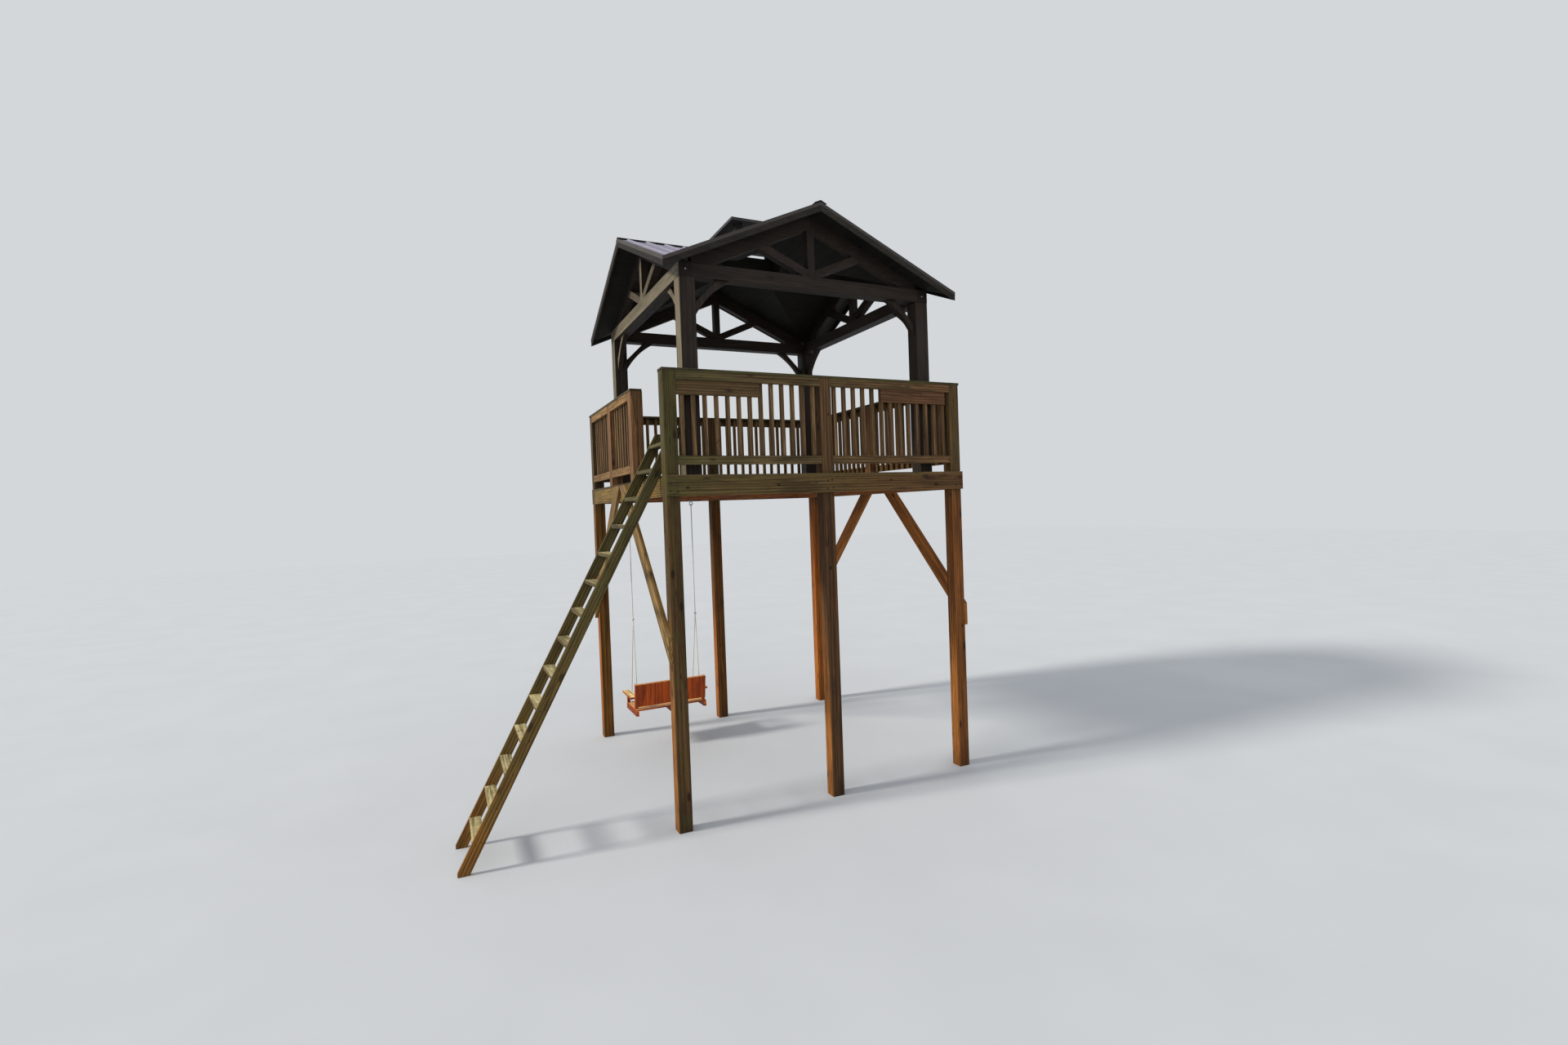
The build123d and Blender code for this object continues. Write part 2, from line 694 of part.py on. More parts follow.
# Swing hangers: a plate under the joist, a neck and a ring that lies across the swing's travel
rope_places = [joist_places[joist_bays - swing_joist_bays_count], joist_places[joist_bays]]
swing_x = sum(rope_places) / 2
rope_from_middle = swing_joist_bays_count * joist_pitch / 2
bench_length = 2 * (rope_from_middle + bench_end_overhang)
ring_middle = rim_underside - hanger_plate_thick - hanger_neck_length - hanger_ring_mean_dia / 2
swing_z = ring_middle - hanger_ring_mean_dia / 2
with BuildPart() as rope_hangers:
    with BuildSketch(Plane.XY.offset(rim_underside - hanger_plate_thick)):
        with Locations(*[(x, swing_y) for x in rope_places]):
            Rectangle(framing_thick, hanger_plate_length)
    extrude(amount=hanger_plate_thick)
    with BuildSketch(Plane.XY.offset(rim_underside - hanger_plate_thick)):
        with Locations(*[(x, swing_y) for x in rope_places]):
            Circle(hanger_bar_dia / 2)
    extrude(amount=-hanger_neck_length)
    with Locations(*[Location((x, swing_y, ring_middle), (90, 0, 0)) for x in rope_places]):
        Torus(hanger_ring_mean_dia / 2, hanger_bar_dia / 2)
put_out(rope_hangers, "rope_hangers")

# Bench seat: slats along the bench on three bearers, with holes for the four rope legs that
# end in knots under the slats
seat_depth = seat_slat_count * seat_slat_width + (seat_slat_count - 1) * seat_slat_gap
seat_middle = bench_back_edge + seat_depth / 2
seat_front = bench_back_edge + seat_depth
slat_underside = seat_top - seat_slat_thick
bearer_underside = slat_underside - bearer_height
knot_z = slat_underside - seat_clearance - seat_knot_dia / 2
rope_ends = (bench_back_edge + rope_back_inset, seat_front - rope_front_inset)
leg_planes = [Plane(origin=(x, end_y, knot_z),
                    z_dir=(0, swing_y - end_y, rope_split_height - knot_z))
              for x in rope_places for end_y in rope_ends]
with BuildPart() as bench_seat:
    with BuildSketch(Plane.XY.offset(slat_underside)):
        with Locations((swing_x, seat_middle)):
            with GridLocations(0, seat_slat_width + seat_slat_gap, 1, seat_slat_count):
                Rectangle(bench_length, seat_slat_width)
    extrude(amount=seat_slat_thick)
    with BuildSketch(Plane.XY.offset(bearer_underside)):
        with Locations((swing_x, seat_middle)):
            with GridLocations((bench_length - framing_thick) / 2, 0, 3, 1):
                Rectangle(framing_thick, seat_depth + 2 * bearer_overhang)
    extrude(amount=bearer_height)
    with BuildSketch(*leg_planes):
        Circle(rope_dia / 2 + rope_hole_clearance)
    extrude(amount=seat_top - knot_z + seat_knot_dia, mode=Mode.SUBTRACT)
put_out(bench_seat, "bench_seat")

# Bench back: upright slats on two battens, and a stile at each end that stands on the seat
recline = radians(back_recline)
back_plane = Plane(origin=(swing_x, bench_back_edge + back_setback, seat_top),
                   x_dir=(-1, 0, 0), z_dir=(0, cos(recline), sin(recline)))
slat_pitch = (bench_length - back_slat_width) / (back_slat_count - 1)
slat_height = back_height - back_above_seat
stile_x = (bench_length - stile_size) / 2
batten_length = bench_length - 2 * stile_size
with BuildPart() as bench_back:
    with BuildSketch(back_plane):
        with Locations((0, back_above_seat + slat_height / 2)):
            with GridLocations(slat_pitch, 0, back_slat_count, 1):
                Rectangle(back_slat_width, slat_height)
    extrude(amount=-back_slat_thick)
    with BuildSketch(back_plane):
        with Locations((0, back_above_seat + back_batten_height / 2),
                       (0, back_height - back_batten_height / 2)):
            Rectangle(batten_length, back_batten_height)
    extrude(amount=back_batten_thick)
    with BuildSketch(back_plane):
        with Locations((-stile_x, (back_height - stile_size) / 2),
                       (stile_x, (back_height - stile_size) / 2)):
            Rectangle(stile_size, back_height + stile_size)
    extrude(amount=stile_size)
    with BuildSketch(Plane.XY.offset(seat_top)):
        with Locations((swing_x, seat_middle)):
            Rectangle(2 * bench_length, 2 * seat_depth)
    extrude(amount=-2 * stile_size, mode=Mode.SUBTRACT)
put_out(bench_back, "bench_back")


def stile_front(height):
    """Where the leaning stile's front face stands at a height above the seat."""
    return (bench_back_edge + back_setback + stile_size / cos(recline)
            - height * tan(recline))


# Bench arms: a flat rest from the stile forward, on a post at the front of the seat
arm_from_middle = rope_from_middle + rope_dia / 2 + arm_rope_clearance + arm_width / 2
arm_underside = arm_height - arm_thick
arm_front = seat_front + arm_overhang
with BuildPart() as bench_arms:
    for hand in (-1, 1):
        with BuildSketch(Plane.YZ.offset(swing_x + hand * arm_from_middle)):
            with BuildLine():
                Polyline((stile_front(arm_underside), seat_top + arm_underside),
                         (arm_front, seat_top + arm_underside),
                         (arm_front, seat_top + arm_height),
                         (stile_front(arm_height), seat_top + arm_height), close=True)
            make_face()
        extrude(amount=arm_width / 2, both=True)
        with BuildSketch(Plane.XY.offset(seat_top)):
            with Locations((swing_x + hand * stile_x, seat_front - stile_size / 2)):
                Rectangle(stile_size, stile_size)
        extrude(amount=arm_underside)
put_out(bench_arms, "bench_arms")

# Taut ropes: an eye round each ring, one run down to a knot, and two legs to the seat
eye_mean = hanger_bar_dia / 2 + hanger_pin_clearance + rope_dia / 2
with BuildPart() as bench_ropes:
    with Locations(*[Location((x, swing_y, swing_z), (0, 90, 0)) for x in rope_places]):
        Torus(eye_mean, rope_dia / 2)
    with BuildSketch(Plane.XY.offset(rope_split_height)):
        with Locations(*[(x, swing_y) for x in rope_places]):
            Circle(rope_dia / 2)
    extrude(amount=swing_z - eye_mean - rope_split_height)
    for leg in leg_planes:
        leg_length = (Vector(leg.origin.X, swing_y, rope_split_height) - leg.origin).length
        with BuildSketch(leg):
            Circle(rope_dia / 2)
        extrude(amount=leg_length)
    with Locations(*[leg.origin for leg in leg_planes]):
        Sphere(seat_knot_dia / 2)
    with Locations(*[(x, swing_y, rope_split_height) for x in rope_places]):
        Sphere(rope_knot_dia / 2)
put_out(bench_ropes, "bench_ropes")
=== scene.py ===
import math
import random

import bmesh
import bpy
from mathutils import Matrix, Vector


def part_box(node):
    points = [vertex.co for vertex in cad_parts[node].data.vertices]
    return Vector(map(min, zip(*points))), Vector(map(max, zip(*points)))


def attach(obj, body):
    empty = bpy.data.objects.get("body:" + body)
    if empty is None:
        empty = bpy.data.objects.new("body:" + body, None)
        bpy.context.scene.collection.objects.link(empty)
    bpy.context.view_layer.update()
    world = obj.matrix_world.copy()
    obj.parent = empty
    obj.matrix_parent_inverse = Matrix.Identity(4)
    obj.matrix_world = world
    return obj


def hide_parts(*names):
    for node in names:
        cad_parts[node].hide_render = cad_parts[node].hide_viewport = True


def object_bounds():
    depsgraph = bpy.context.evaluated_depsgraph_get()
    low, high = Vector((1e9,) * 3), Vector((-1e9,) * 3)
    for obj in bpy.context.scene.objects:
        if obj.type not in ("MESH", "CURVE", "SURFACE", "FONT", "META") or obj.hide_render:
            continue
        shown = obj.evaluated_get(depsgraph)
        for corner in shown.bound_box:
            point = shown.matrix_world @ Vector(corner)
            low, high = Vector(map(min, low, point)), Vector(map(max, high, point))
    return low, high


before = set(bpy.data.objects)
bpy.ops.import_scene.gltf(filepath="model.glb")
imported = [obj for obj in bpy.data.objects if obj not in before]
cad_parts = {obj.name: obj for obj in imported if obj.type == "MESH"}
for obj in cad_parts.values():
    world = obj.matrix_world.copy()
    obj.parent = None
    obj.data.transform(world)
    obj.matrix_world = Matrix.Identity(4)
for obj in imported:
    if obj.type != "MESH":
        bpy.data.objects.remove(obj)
CAD_BOX = [list(corner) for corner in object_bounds()]
SHELTER = "shelter"
SWING = "bench_swing"
chance = random.Random(5)

# Places of the solids, in metres. The platform: half its width, its posts' outer faces, the
# posts' middles, the thickness of its boards, the heights of rims and deck, and the joists.
HALF = 1.829
FRONT_Y, BACK_Y = -0.070, 3.588
MIDDLE_Y = (FRONT_Y + BACK_Y) / 2
POST_X = (-1.759, 0.0, 1.759)
PLANK = 0.038
RIM_LOW, RIM_HIGH, DECK = 3.350, 3.534, 3.559
JOISTS = [side * (0.180 + k * 0.445) for side in (-1, 1) for k in range(4)]
# The railing: its caps' upper faces and their middle from the platform's side, its two rails
CAP_TOP, CAP_HALF = 4.620, 0.064
RAIL_MIDDLES = (4.5495, 3.7065)
BALUSTER_PITCH = 0.124
SIGN_LENGTH = 0.910
# The pavilion: its middle, half its width, its tie beams' depth and lower faces, and its roof
PAV_Y, PAV = 1.670, 1.555
BEAM, TIE_LOW = 0.146, 5.602
ROOF_PITCH = math.radians(23.94)
ROOF_EDGE, CURB_HALF = 1.791, 0.450
# The ladder's angle, and from where to where its two sides reach along Y
LADDER_LEAN = math.radians(61.9)
LADDER_SIDES = ((0.110, 0.148), (0.730, 0.768))
# The bench swing: its middle, its hangers, its seat's top and back edge, and its back's angle
SWING_X, HANGER_Y = -1.070, 2.785
SEAT_TOP, SEAT_BACK = 0.550, 2.610
BENCH_LEAN = math.radians(8)


def srgb(red, green, blue):
    """A shader colour from an sRGB triple of 0 to 255."""
    return tuple(((c / 255 + 0.055) / 1.055) ** 2.4 for c in (red, green, blue))


def dimmed(colour, share):
    return tuple(share * c for c in colour)


# ---------------------------------------------------------------- node materials
class Nodes:
    """A small helper around one material's node tree."""

    def __init__(self, name, roughness=0.75, metallic=0.0, specular=0.3):
        self.mat = bpy.data.materials.new(name)
        self.mat.use_nodes = True
        self.tree = self.mat.node_tree
        self.shader = self.tree.nodes["Principled BSDF"]
        self.shader.inputs["Roughness"].default_value = roughness
        self.shader.inputs["Metallic"].default_value = metallic
        self.shader.inputs["Specular IOR Level"].default_value = specular

    def add(self, kind, **values):
        node = self.tree.nodes.new(kind)
        for key, value in values.items():
            setattr(node, key, value)
        return node

    def link(self, out, into):
        self.tree.links.new(out, into)

    def place(self):
        """Object coordinates, which are the part's frame, in metres."""
        return self.add("ShaderNodeTexCoord").outputs["Object"]

    def scaled(self, vector, scale):
        node = self.add("ShaderNodeMapping")
        node.inputs["Scale"].default_value = scale
        self.link(vector, node.inputs["Vector"])
        return node.outputs["Vector"]

    def noise(self, vector, scale, detail=4.0, rough=0.6, distortion=0.0):
        node = self.add("ShaderNodeTexNoise")
        node.inputs["Scale"].default_value = scale
        node.inputs["Detail"].default_value = detail
        node.inputs["Roughness"].default_value = rough
        node.inputs["Distortion"].default_value = distortion
        self.link(vector, node.inputs["Vector"])
        return node.outputs["Fac"]

    def ramp(self, value, stops):
        """A colour ramp with straight steps between its stops."""
        node = self.add("ShaderNodeValToRGB")
        marks = node.color_ramp.elements
        for k, (at, colour) in enumerate(stops):
            mark = marks[k] if k < 2 else marks.new(at)
            mark.position = at
            mark.color = (*colour, 1.0)
        self.link(value, node.inputs["Fac"])
        return node.outputs["Color"]

    def fade(self, value, start, end, first=0.0, last=1.0):
        """A smooth change from first to last while the value goes from start to end."""
        node = self.add("ShaderNodeMapRange", interpolation_type="SMOOTHSTEP")
        node.inputs["From Min"].default_value = start
        node.inputs["From Max"].default_value = end
        node.inputs["To Min"].default_value = first
        node.inputs["To Max"].default_value = last
        self.link(value, node.inputs["Value"])
        return node.outputs["Result"]

    def mix(self, fac, a, b, blend="MIX"):
        """A mix of two colours. Each input is a socket, a number or a colour triple."""
        node = self.add("ShaderNodeMix", data_type="RGBA", blend_type=blend)
        for name, item in (("Factor", fac), ("A", a), ("B", b)):
            sockets = [s for s in node.inputs if s.name == name]
            if name == "Factor":
                socket = sockets[0]
            else:
                socket = next(s for s in sockets if s.type == "RGBA")
            if isinstance(item, (int, float)):
                socket.default_value = item
            elif isinstance(item, tuple):
                socket.default_value = (*item, 1.0)
            else:
                self.link(item, socket)
        return next(s for s in node.outputs if s.type == "RGBA")

    def multiplied(self, fac, colour, tint):
        return self.mix(fac, colour, tint, "MULTIPLY")

    def maths(self, kind, a, b=None):
        node = self.add("ShaderNodeMath", operation=kind)
        for socket, item in zip(node.inputs, (a, b)):
            if item is None:
                continue
            if isinstance(item, (int, float)):
                socket.default_value = item
            else:
                self.link(item, socket)
        return node.outputs[0]

    def vector(self, kind, a, b=None, scale=None):
        """One operation on vectors. b is a socket or a triple, and scale is a socket."""
        node = self.add("ShaderNodeVectorMath", operation=kind)
        self.link(a, node.inputs[0])
        if isinstance(b, tuple):
            node.inputs[1].default_value = b
        elif b is not None:
            self.link(b, node.inputs[1])
        if scale is not None:
            self.link(scale, node.inputs["Scale"])
        return node.outputs["Value"] if kind == "LENGTH" else node.outputs[0]

    def axis(self, vector, name):
        node = self.add("ShaderNodeSeparateXYZ")
        self.link(vector, node.inputs[0])
        return node.outputs[name]

    def facing(self, name):
        """One part of the true face normal in the part's frame."""
        node = self.add("ShaderNodeNewGeometry")
        return self.axis(node.outputs["True Normal"], name)

    def bump(self, height, strength, distance):
        node = self.add("ShaderNodeBump")
        node.inputs["Strength"].default_value = strength
        node.inputs["Distance"].default_value = distance
        self.link(height, node.inputs["Height"])
        self.link(node.outputs["Normal"], self.shader.inputs["Normal"])

    def colour(self, socket):
        self.link(socket, self.shader.inputs["Base Color"])

    def roughness(self, socket):
        self.link(socket, self.shader.inputs["Roughness"])


# ---------------------------------------------------------------- sawn lumber
BLACK, WHITE = (0, 0, 0), (1, 1, 1)
# The pattern changes this much slower along the grain than across it
GRAIN_STRETCH = 0.045
# The grain's middle tone, and the factor that makes up for it
GRAIN_MIDDLE = (0.62, 0.60, 0.53)
TONE_LIFT = 1.61
MOSS = srgb(66, 72, 24)
# Colours that tint by multiplying
STREAK_TINT = (0.34, 0.31, 0.27)
DAMP_TINT = (0.35, 0.33, 0.25)
KNOT_HALO_TINT = (0.62, 0.45, 0.30)
KNOT_TINT = (0.20, 0.15, 0.11)
MARK_TINT = (0.16, 0.12, 0.09)
CRACK_TINT = (0.22, 0.19, 0.16)
END_TINT = (0.46, 0.42, 0.38)
# Between these heights the tones below the deck change to those above it
DECK_BORDER = (3.1, 3.6)
# Between these heights the painted sunlight on the low left faces fades out
LIT_BORDER = (0.7, 2.6)


def board_place(n, place, turn, fold):
    """Coordinates along the grain, shifted at random from board to board, and that random."""
    if fold:
        axis, plane = fold
        split = n.add("ShaderNodeSeparateXYZ")
        n.link(place, split.inputs[0])
        join = n.add("ShaderNodeCombineXYZ")
        for k, name in enumerate("XYZ"):
            part = split.outputs[k]
            if name == axis:
                part = n.maths("ABSOLUTE", n.maths("SUBTRACT", part, plane))
            n.link(part, join.inputs[k])
        place = join.outputs[0]
    if turn:
        turned = n.add("ShaderNodeVectorRotate", rotation_type="EULER_XYZ")
        turned.inputs["Rotation"].default_value = turn
        n.link(place, turned.inputs["Vector"])
        place = turned.outputs[0]
    board = n.add("ShaderNodeNewGeometry").outputs["Random Per Island"]
    shift = n.add("ShaderNodeCombineXYZ")
    for socket, factor in zip(shift.inputs, (7.3, 11.9, 5.1)):
        n.link(n.maths("MULTIPLY", board, factor), socket)
    return n.vector("ADD", place, shift.outputs[0]), board


def grain_colours(n, grainy, run, contrast):
    """The grain's tint from annual rings and fine fibres, and the patterns it is made of."""
    figure = n.noise(grainy, scale=30.0, detail=4.0, rough=0.6, distortion=1.4)
    fibres = n.noise(grainy, scale=210.0, detail=3.0, rough=0.7, distortion=0.3)
    rings = n.add("ShaderNodeTexWave", wave_type="RINGS", rings_direction=run)
    rings.inputs["Scale"].default_value = 15.0
    rings.inputs["Distortion"].default_value = 6.0
    rings.inputs["Detail"].default_value = 2.5
    rings.inputs["Detail Scale"].default_value = 0.6
    n.link(grainy, rings.inputs["Vector"])
    tone = n.mix(0.38, n.ramp(figure, [(0.3, BLACK), (0.7, WHITE)]),
                 n.ramp(rings.outputs["Fac"], [(0.1, BLACK), (0.9, WHITE)]))
    tone = n.mix(0.22, tone, n.ramp(fibres, [(0.3, BLACK), (0.7, WHITE)]))
    low = GRAIN_MIDDLE[0] - 0.30 * contrast
    high = GRAIN_MIDDLE[0] + 0.38 * contrast
    grain = n.ramp(tone, [(0.26, (low, 0.90 * low, 0.74 * low)), (0.5, GRAIN_MIDDLE),
                          (0.76, (high, 0.97 * high, 0.88 * high))])
    return grain, figure, fibres


def base_tone(n, base, place, cloud):
    """The tone by place, with soft uneven borders."""
    if not isinstance(base[0], str):
        return n.ramp(cloud, [(0.3, dimmed(base, 0.84)), (0.7, dimmed(base, 1.14))])
    axis, start, end, stops, *above = base
    wander = n.maths("MULTIPLY", n.maths("SUBTRACT", cloud, 0.5), 0.45 * (end - start))
    along = n.add("ShaderNodeMapRange")
    along.inputs["From Min"].default_value = start
    along.inputs["From Max"].default_value = end
    n.link(n.maths("ADD", n.axis(place, axis), wander), along.inputs["Value"])
    tone = n.ramp(along.outputs["Result"], stops)
    if above:
        tone = n.mix(n.fade(n.axis(place, "Z"), *DECK_BORDER), tone,
                     n.ramp(along.outputs["Result"], above[0]))
    return tone


def add_painted_sunlight_and_wear(n, tone, place, moved, grainy, lit, painted_sunlight, top):
    """Painted sunlight on low left faces and on the pavilion's outer left faces, and lighter
    top faces: worn, with painted sunlight on some.
    """
    # Painted sunlight on left faces low down
    if lit:
        shone = n.maths("MULTIPLY", n.fade(n.facing("X"), -0.7, -0.95),
                        n.fade(n.axis(place, "Z"), *LIT_BORDER, 1.0, 0.0))
        tone = n.mix(shone, tone, lit)
    # Painted sunlight on the pavilion's outer left faces, in patches
    if painted_sunlight:
        colour, border = painted_sunlight
        outside = n.maths("MULTIPLY", n.fade(n.facing("X"), -0.6, -0.9),
                          n.fade(n.axis(place, "X"), border + 0.02, border))
        patch = n.fade(n.noise(grainy, scale=7.0, detail=4.0, rough=0.6, distortion=0.5),
                       0.25, 0.6, 0.7, 1.0)
        tone = n.mix(n.maths("MULTIPLY", outside, patch), tone, colour)
    # Lighter top faces: worn wood on the caps and decking, painted sunlight on the treads and
    # bench
    if top:
        wear_and_painted_sunlight = n.fade(n.noise(moved, scale=14.0, detail=4.0, rough=0.65, distortion=0.3),
                      0.3, 0.6, 0.55, 1.0)
        upper = n.fade(n.facing("Z"), 0.8, 0.95)
        tone = n.mix(n.maths("MULTIPLY", upper, wear_and_painted_sunlight), tone, top)
    return tone


def add_weather(n, colour, place, moved, stretch, figure, stain, foot, moss, moss_from):
    """Long stains, damp wood near the ground, and moss that thins out to the right."""
    streaks = n.noise(n.scaled(moved, tuple(0.5 * s + 0.12 for s in stretch)),
                      scale=6.0, detail=5.0, rough=0.62, distortion=0.7)
    colour = n.multiplied(n.fade(streaks, 0.46, 0.66, 0.0, stain), colour, STREAK_TINT)
    if foot:
        height = n.maths("ADD", n.axis(place, "Z"), n.maths("MULTIPLY", figure, 0.25))
        colour = n.multiplied(n.fade(height, 0.10, 0.5, foot, 0.0), colour, DAMP_TINT)
    if moss:
        growth = n.fade(n.noise(moved, scale=7.0, detail=5.0, rough=0.65, distortion=0.4),
                        0.38, 0.62, 0.0, moss)
        if moss_from:
            growth = n.maths("MULTIPLY", growth,
                             n.fade(n.axis(place, "X"), *moss_from, 0.12, 1.0))
        colour = n.mix(growth, colour, MOSS)
    return colour


def add_knots(n, colour, place, moved, stretch, knots, marks):
    """Scattered knots with a halo, and single knots at places of their own."""
    if knots:
        cell = n.add("ShaderNodeTexVoronoi", feature="F1")
        cell.inputs["Scale"].default_value = 5.5
        n.link(n.scaled(moved, tuple(0.6 * s + 0.4 for s in stretch)), cell.inputs["Vector"])
        away = cell.outputs["Distance"]
        colour = n.multiplied(n.fade(away, 0.11, 0.21, 0.5 * knots, 0.0), colour,
                              KNOT_HALO_TINT)
        colour = n.multiplied(n.fade(away, 0.08, 0.125, knots, 0.0), colour, KNOT_TINT)
    for centre, radii in marks:
        ratio = n.vector("DIVIDE", n.vector("SUBTRACT", place, centre), radii)
        colour = n.multiplied(n.fade(n.vector("LENGTH", ratio), 0.55, 1.1, 0.85, 0.0), colour,
                              MARK_TINT)
    return colour


def add_cracks(n, colour, moved, stretch, cracks):
    """Fine drying cracks along the grain, where a noise crosses its middle."""
    line = n.noise(n.scaled(moved, tuple(0.35 * s + 0.004 for s in stretch)),
                   scale=34.0, detail=2.0, rough=0.5, distortion=0.2)
    line = n.maths("ABSOLUTE", n.maths("SUBTRACT", line, 0.5))
    gate = n.fade(n.noise(moved, scale=3.1, detail=3.0, rough=0.5), 0.5, 0.6, 0.0, cracks)
    return n.multiplied(n.maths("MULTIPLY", n.fade(line, 0.004, 0.012, 1.0, 0.0), gate),
                        colour, CRACK_TINT)


def timber(name, run, base, turn=None, fold=None, contrast=1.0, stain=0.5, moss=None,
           moss_from=None, knots=0.6, foot=0.0, painted_sunlight=None, top=None, lit=None, cracks=0.6,
           spread=0.16, grain_bump=0.5, sheen=0.74, marks=()):
    """Sawn lumber: a base tone by place, times grain, with stains, moss, knots and cracks.

    run is the grain's axis, after fold has mirrored the coordinates about a plane and turn has
    rotated them. base is a colour, or (axis, low, high, stops) for one that changes by place,
    with a second list of stops for what stands above the deck.
    painted_sunlight is (colour, x): painted sunlight on outer faces to the left of x. top is
    the
    colour of lighter top faces: worn wood, and painted sunlight on the treads and bench. lit is
    the colour of painted sunlight on left faces low down. marks are single knots as
    (centre, radii). spread is how far boards differ in tone.
    """
    n = Nodes(name, roughness=sheen, specular=0.22)
    place = n.place()
    moved, board = board_place(n, place, turn, fold)
    stretch = tuple(GRAIN_STRETCH if axis == run else 1 for axis in "XYZ")
    grainy = n.scaled(moved, stretch)
    grain, figure, fibres = grain_colours(n, grainy, run, contrast)
    cloud = n.noise(moved, scale=2.3, detail=4.0, rough=0.55, distortion=0.5)
    tone = base_tone(n, base, place, cloud)
    tone = add_painted_sunlight_and_wear(n, tone, place, moved, grainy, lit, painted_sunlight, top)
    lift = n.fade(board, 0.0, 1.0, TONE_LIFT - TONE_LIFT * spread,
                  TONE_LIFT + TONE_LIFT * spread)
    colour = n.multiplied(1.0, n.vector("SCALE", tone, scale=lift), grain)
    colour = add_weather(n, colour, place, moved, stretch, figure, stain, foot, moss, moss_from)
    colour = add_knots(n, colour, place, moved, stretch, knots, marks)
    colour = add_cracks(n, colour, moved, stretch, cracks)
    if not turn:
        # end grain is darker and drinks more dirt
        end = n.fade(n.maths("ABSOLUTE", n.facing(run)), 0.85, 0.97, 0.0, 0.8)
        colour = n.multiplied(end, colour, END_TINT)
    n.colour(colour)
    n.roughness(n.fade(fibres, 0.3, 0.7, sheen - 0.08, min(sheen + 0.14, 1.0)))
    n.bump(n.mix(0.5, fibres, figure), grain_bump, 0.0025)
    return n.mat


def across(*stops):
    """A tone that changes over the platform's width, from the left to the right."""
    return ("X", -1.9, 1.9, *([(at, srgb(*tone)) for at, tone in row] for row in stops))


# The front of the frame is olive on the left and browner to the right. The posts have other
# tones above the deck than below it.
FRONT = across([(0.0, (78, 68, 38)), (0.42, (84, 66, 38)), (1.0, (92, 64, 36))])
POSTS = across([(0.0, (72, 51, 29)), (0.5, (74, 50, 29)), (1.0, (112, 67, 27))],
               [(0.0, (66, 58, 30)), (0.5, (78, 56, 35)), (1.0, (86, 68, 39))])
BACK_POSTS = across([(0.0, (98, 62, 18)), (0.5, (82, 48, 14)), (1.0, (124, 66, 14))],
                    [(0.0, (70, 54, 34)), (1.0, (78, 54, 32))])
RAILS = across([(0.0, (76, 68, 44)), (0.5, (82, 66, 43)), (1.0, (92, 66, 43))])
SIGNS = across([(0.2, (78, 62, 38)), (0.8, (90, 62, 42))])
BRACES = across([(0.2, (116, 92, 54)), (0.8, (134, 82, 32))])
# The ladder's side boards and treads turn lighter and warmer towards the floor: painted
# sunlight on the ladder's foot
LADDER = ("Z", 0.0, 2.9, [(0.0, srgb(126, 84, 36)), (0.28, srgb(104, 82, 42)),
                          (0.6, srgb(84, 70, 38)), (1.0, srgb(70, 63, 36))])
TREADS = ("Z", 0.0, 3.2, [(0.0, srgb(110, 84, 50)), (1.0, srgb(74, 66, 42))])
RIM_SIDE = srgb(98, 76, 38)
RAIL_SIDE = srgb(116, 88, 54)
CAP_WOOD, CAP_WORN = srgb(66, 58, 42), srgb(118, 112, 98)
STAIN = srgb(38, 30, 26)
# Darker still for the roof boards' undersides: painted shade under the roof
PAINTED_SHADE_STAIN = srgb(22, 20, 19)
# Painted sunlight: the pale tone of the pavilion's outer left faces, which the sun lights
PAINTED_SUNLIT_STAIN = srgb(98, 91, 77)
# Faces to the left of this plane belong to the pavilion's outer left side
PAINTED_SUNLIGHT_BORDER = -1.33

stained = {"contrast": 0.8, "knots": 0.4, "grain_bump": 0.35, "sheen": 0.66}
# The pavilion's timbers, with painted sunlight on their outer left faces
stained_painted_sunlit = {**stained, "painted_sunlight": (PAINTED_SUNLIT_STAIN, PAINTED_SUNLIGHT_BORDER)}
roof_wood = {"contrast": 0.7, "knots": 0.2}
bench_wood = {"sheen": 0.5, "cracks": 0.2, "knots": 0.2, "stain": 0.3}

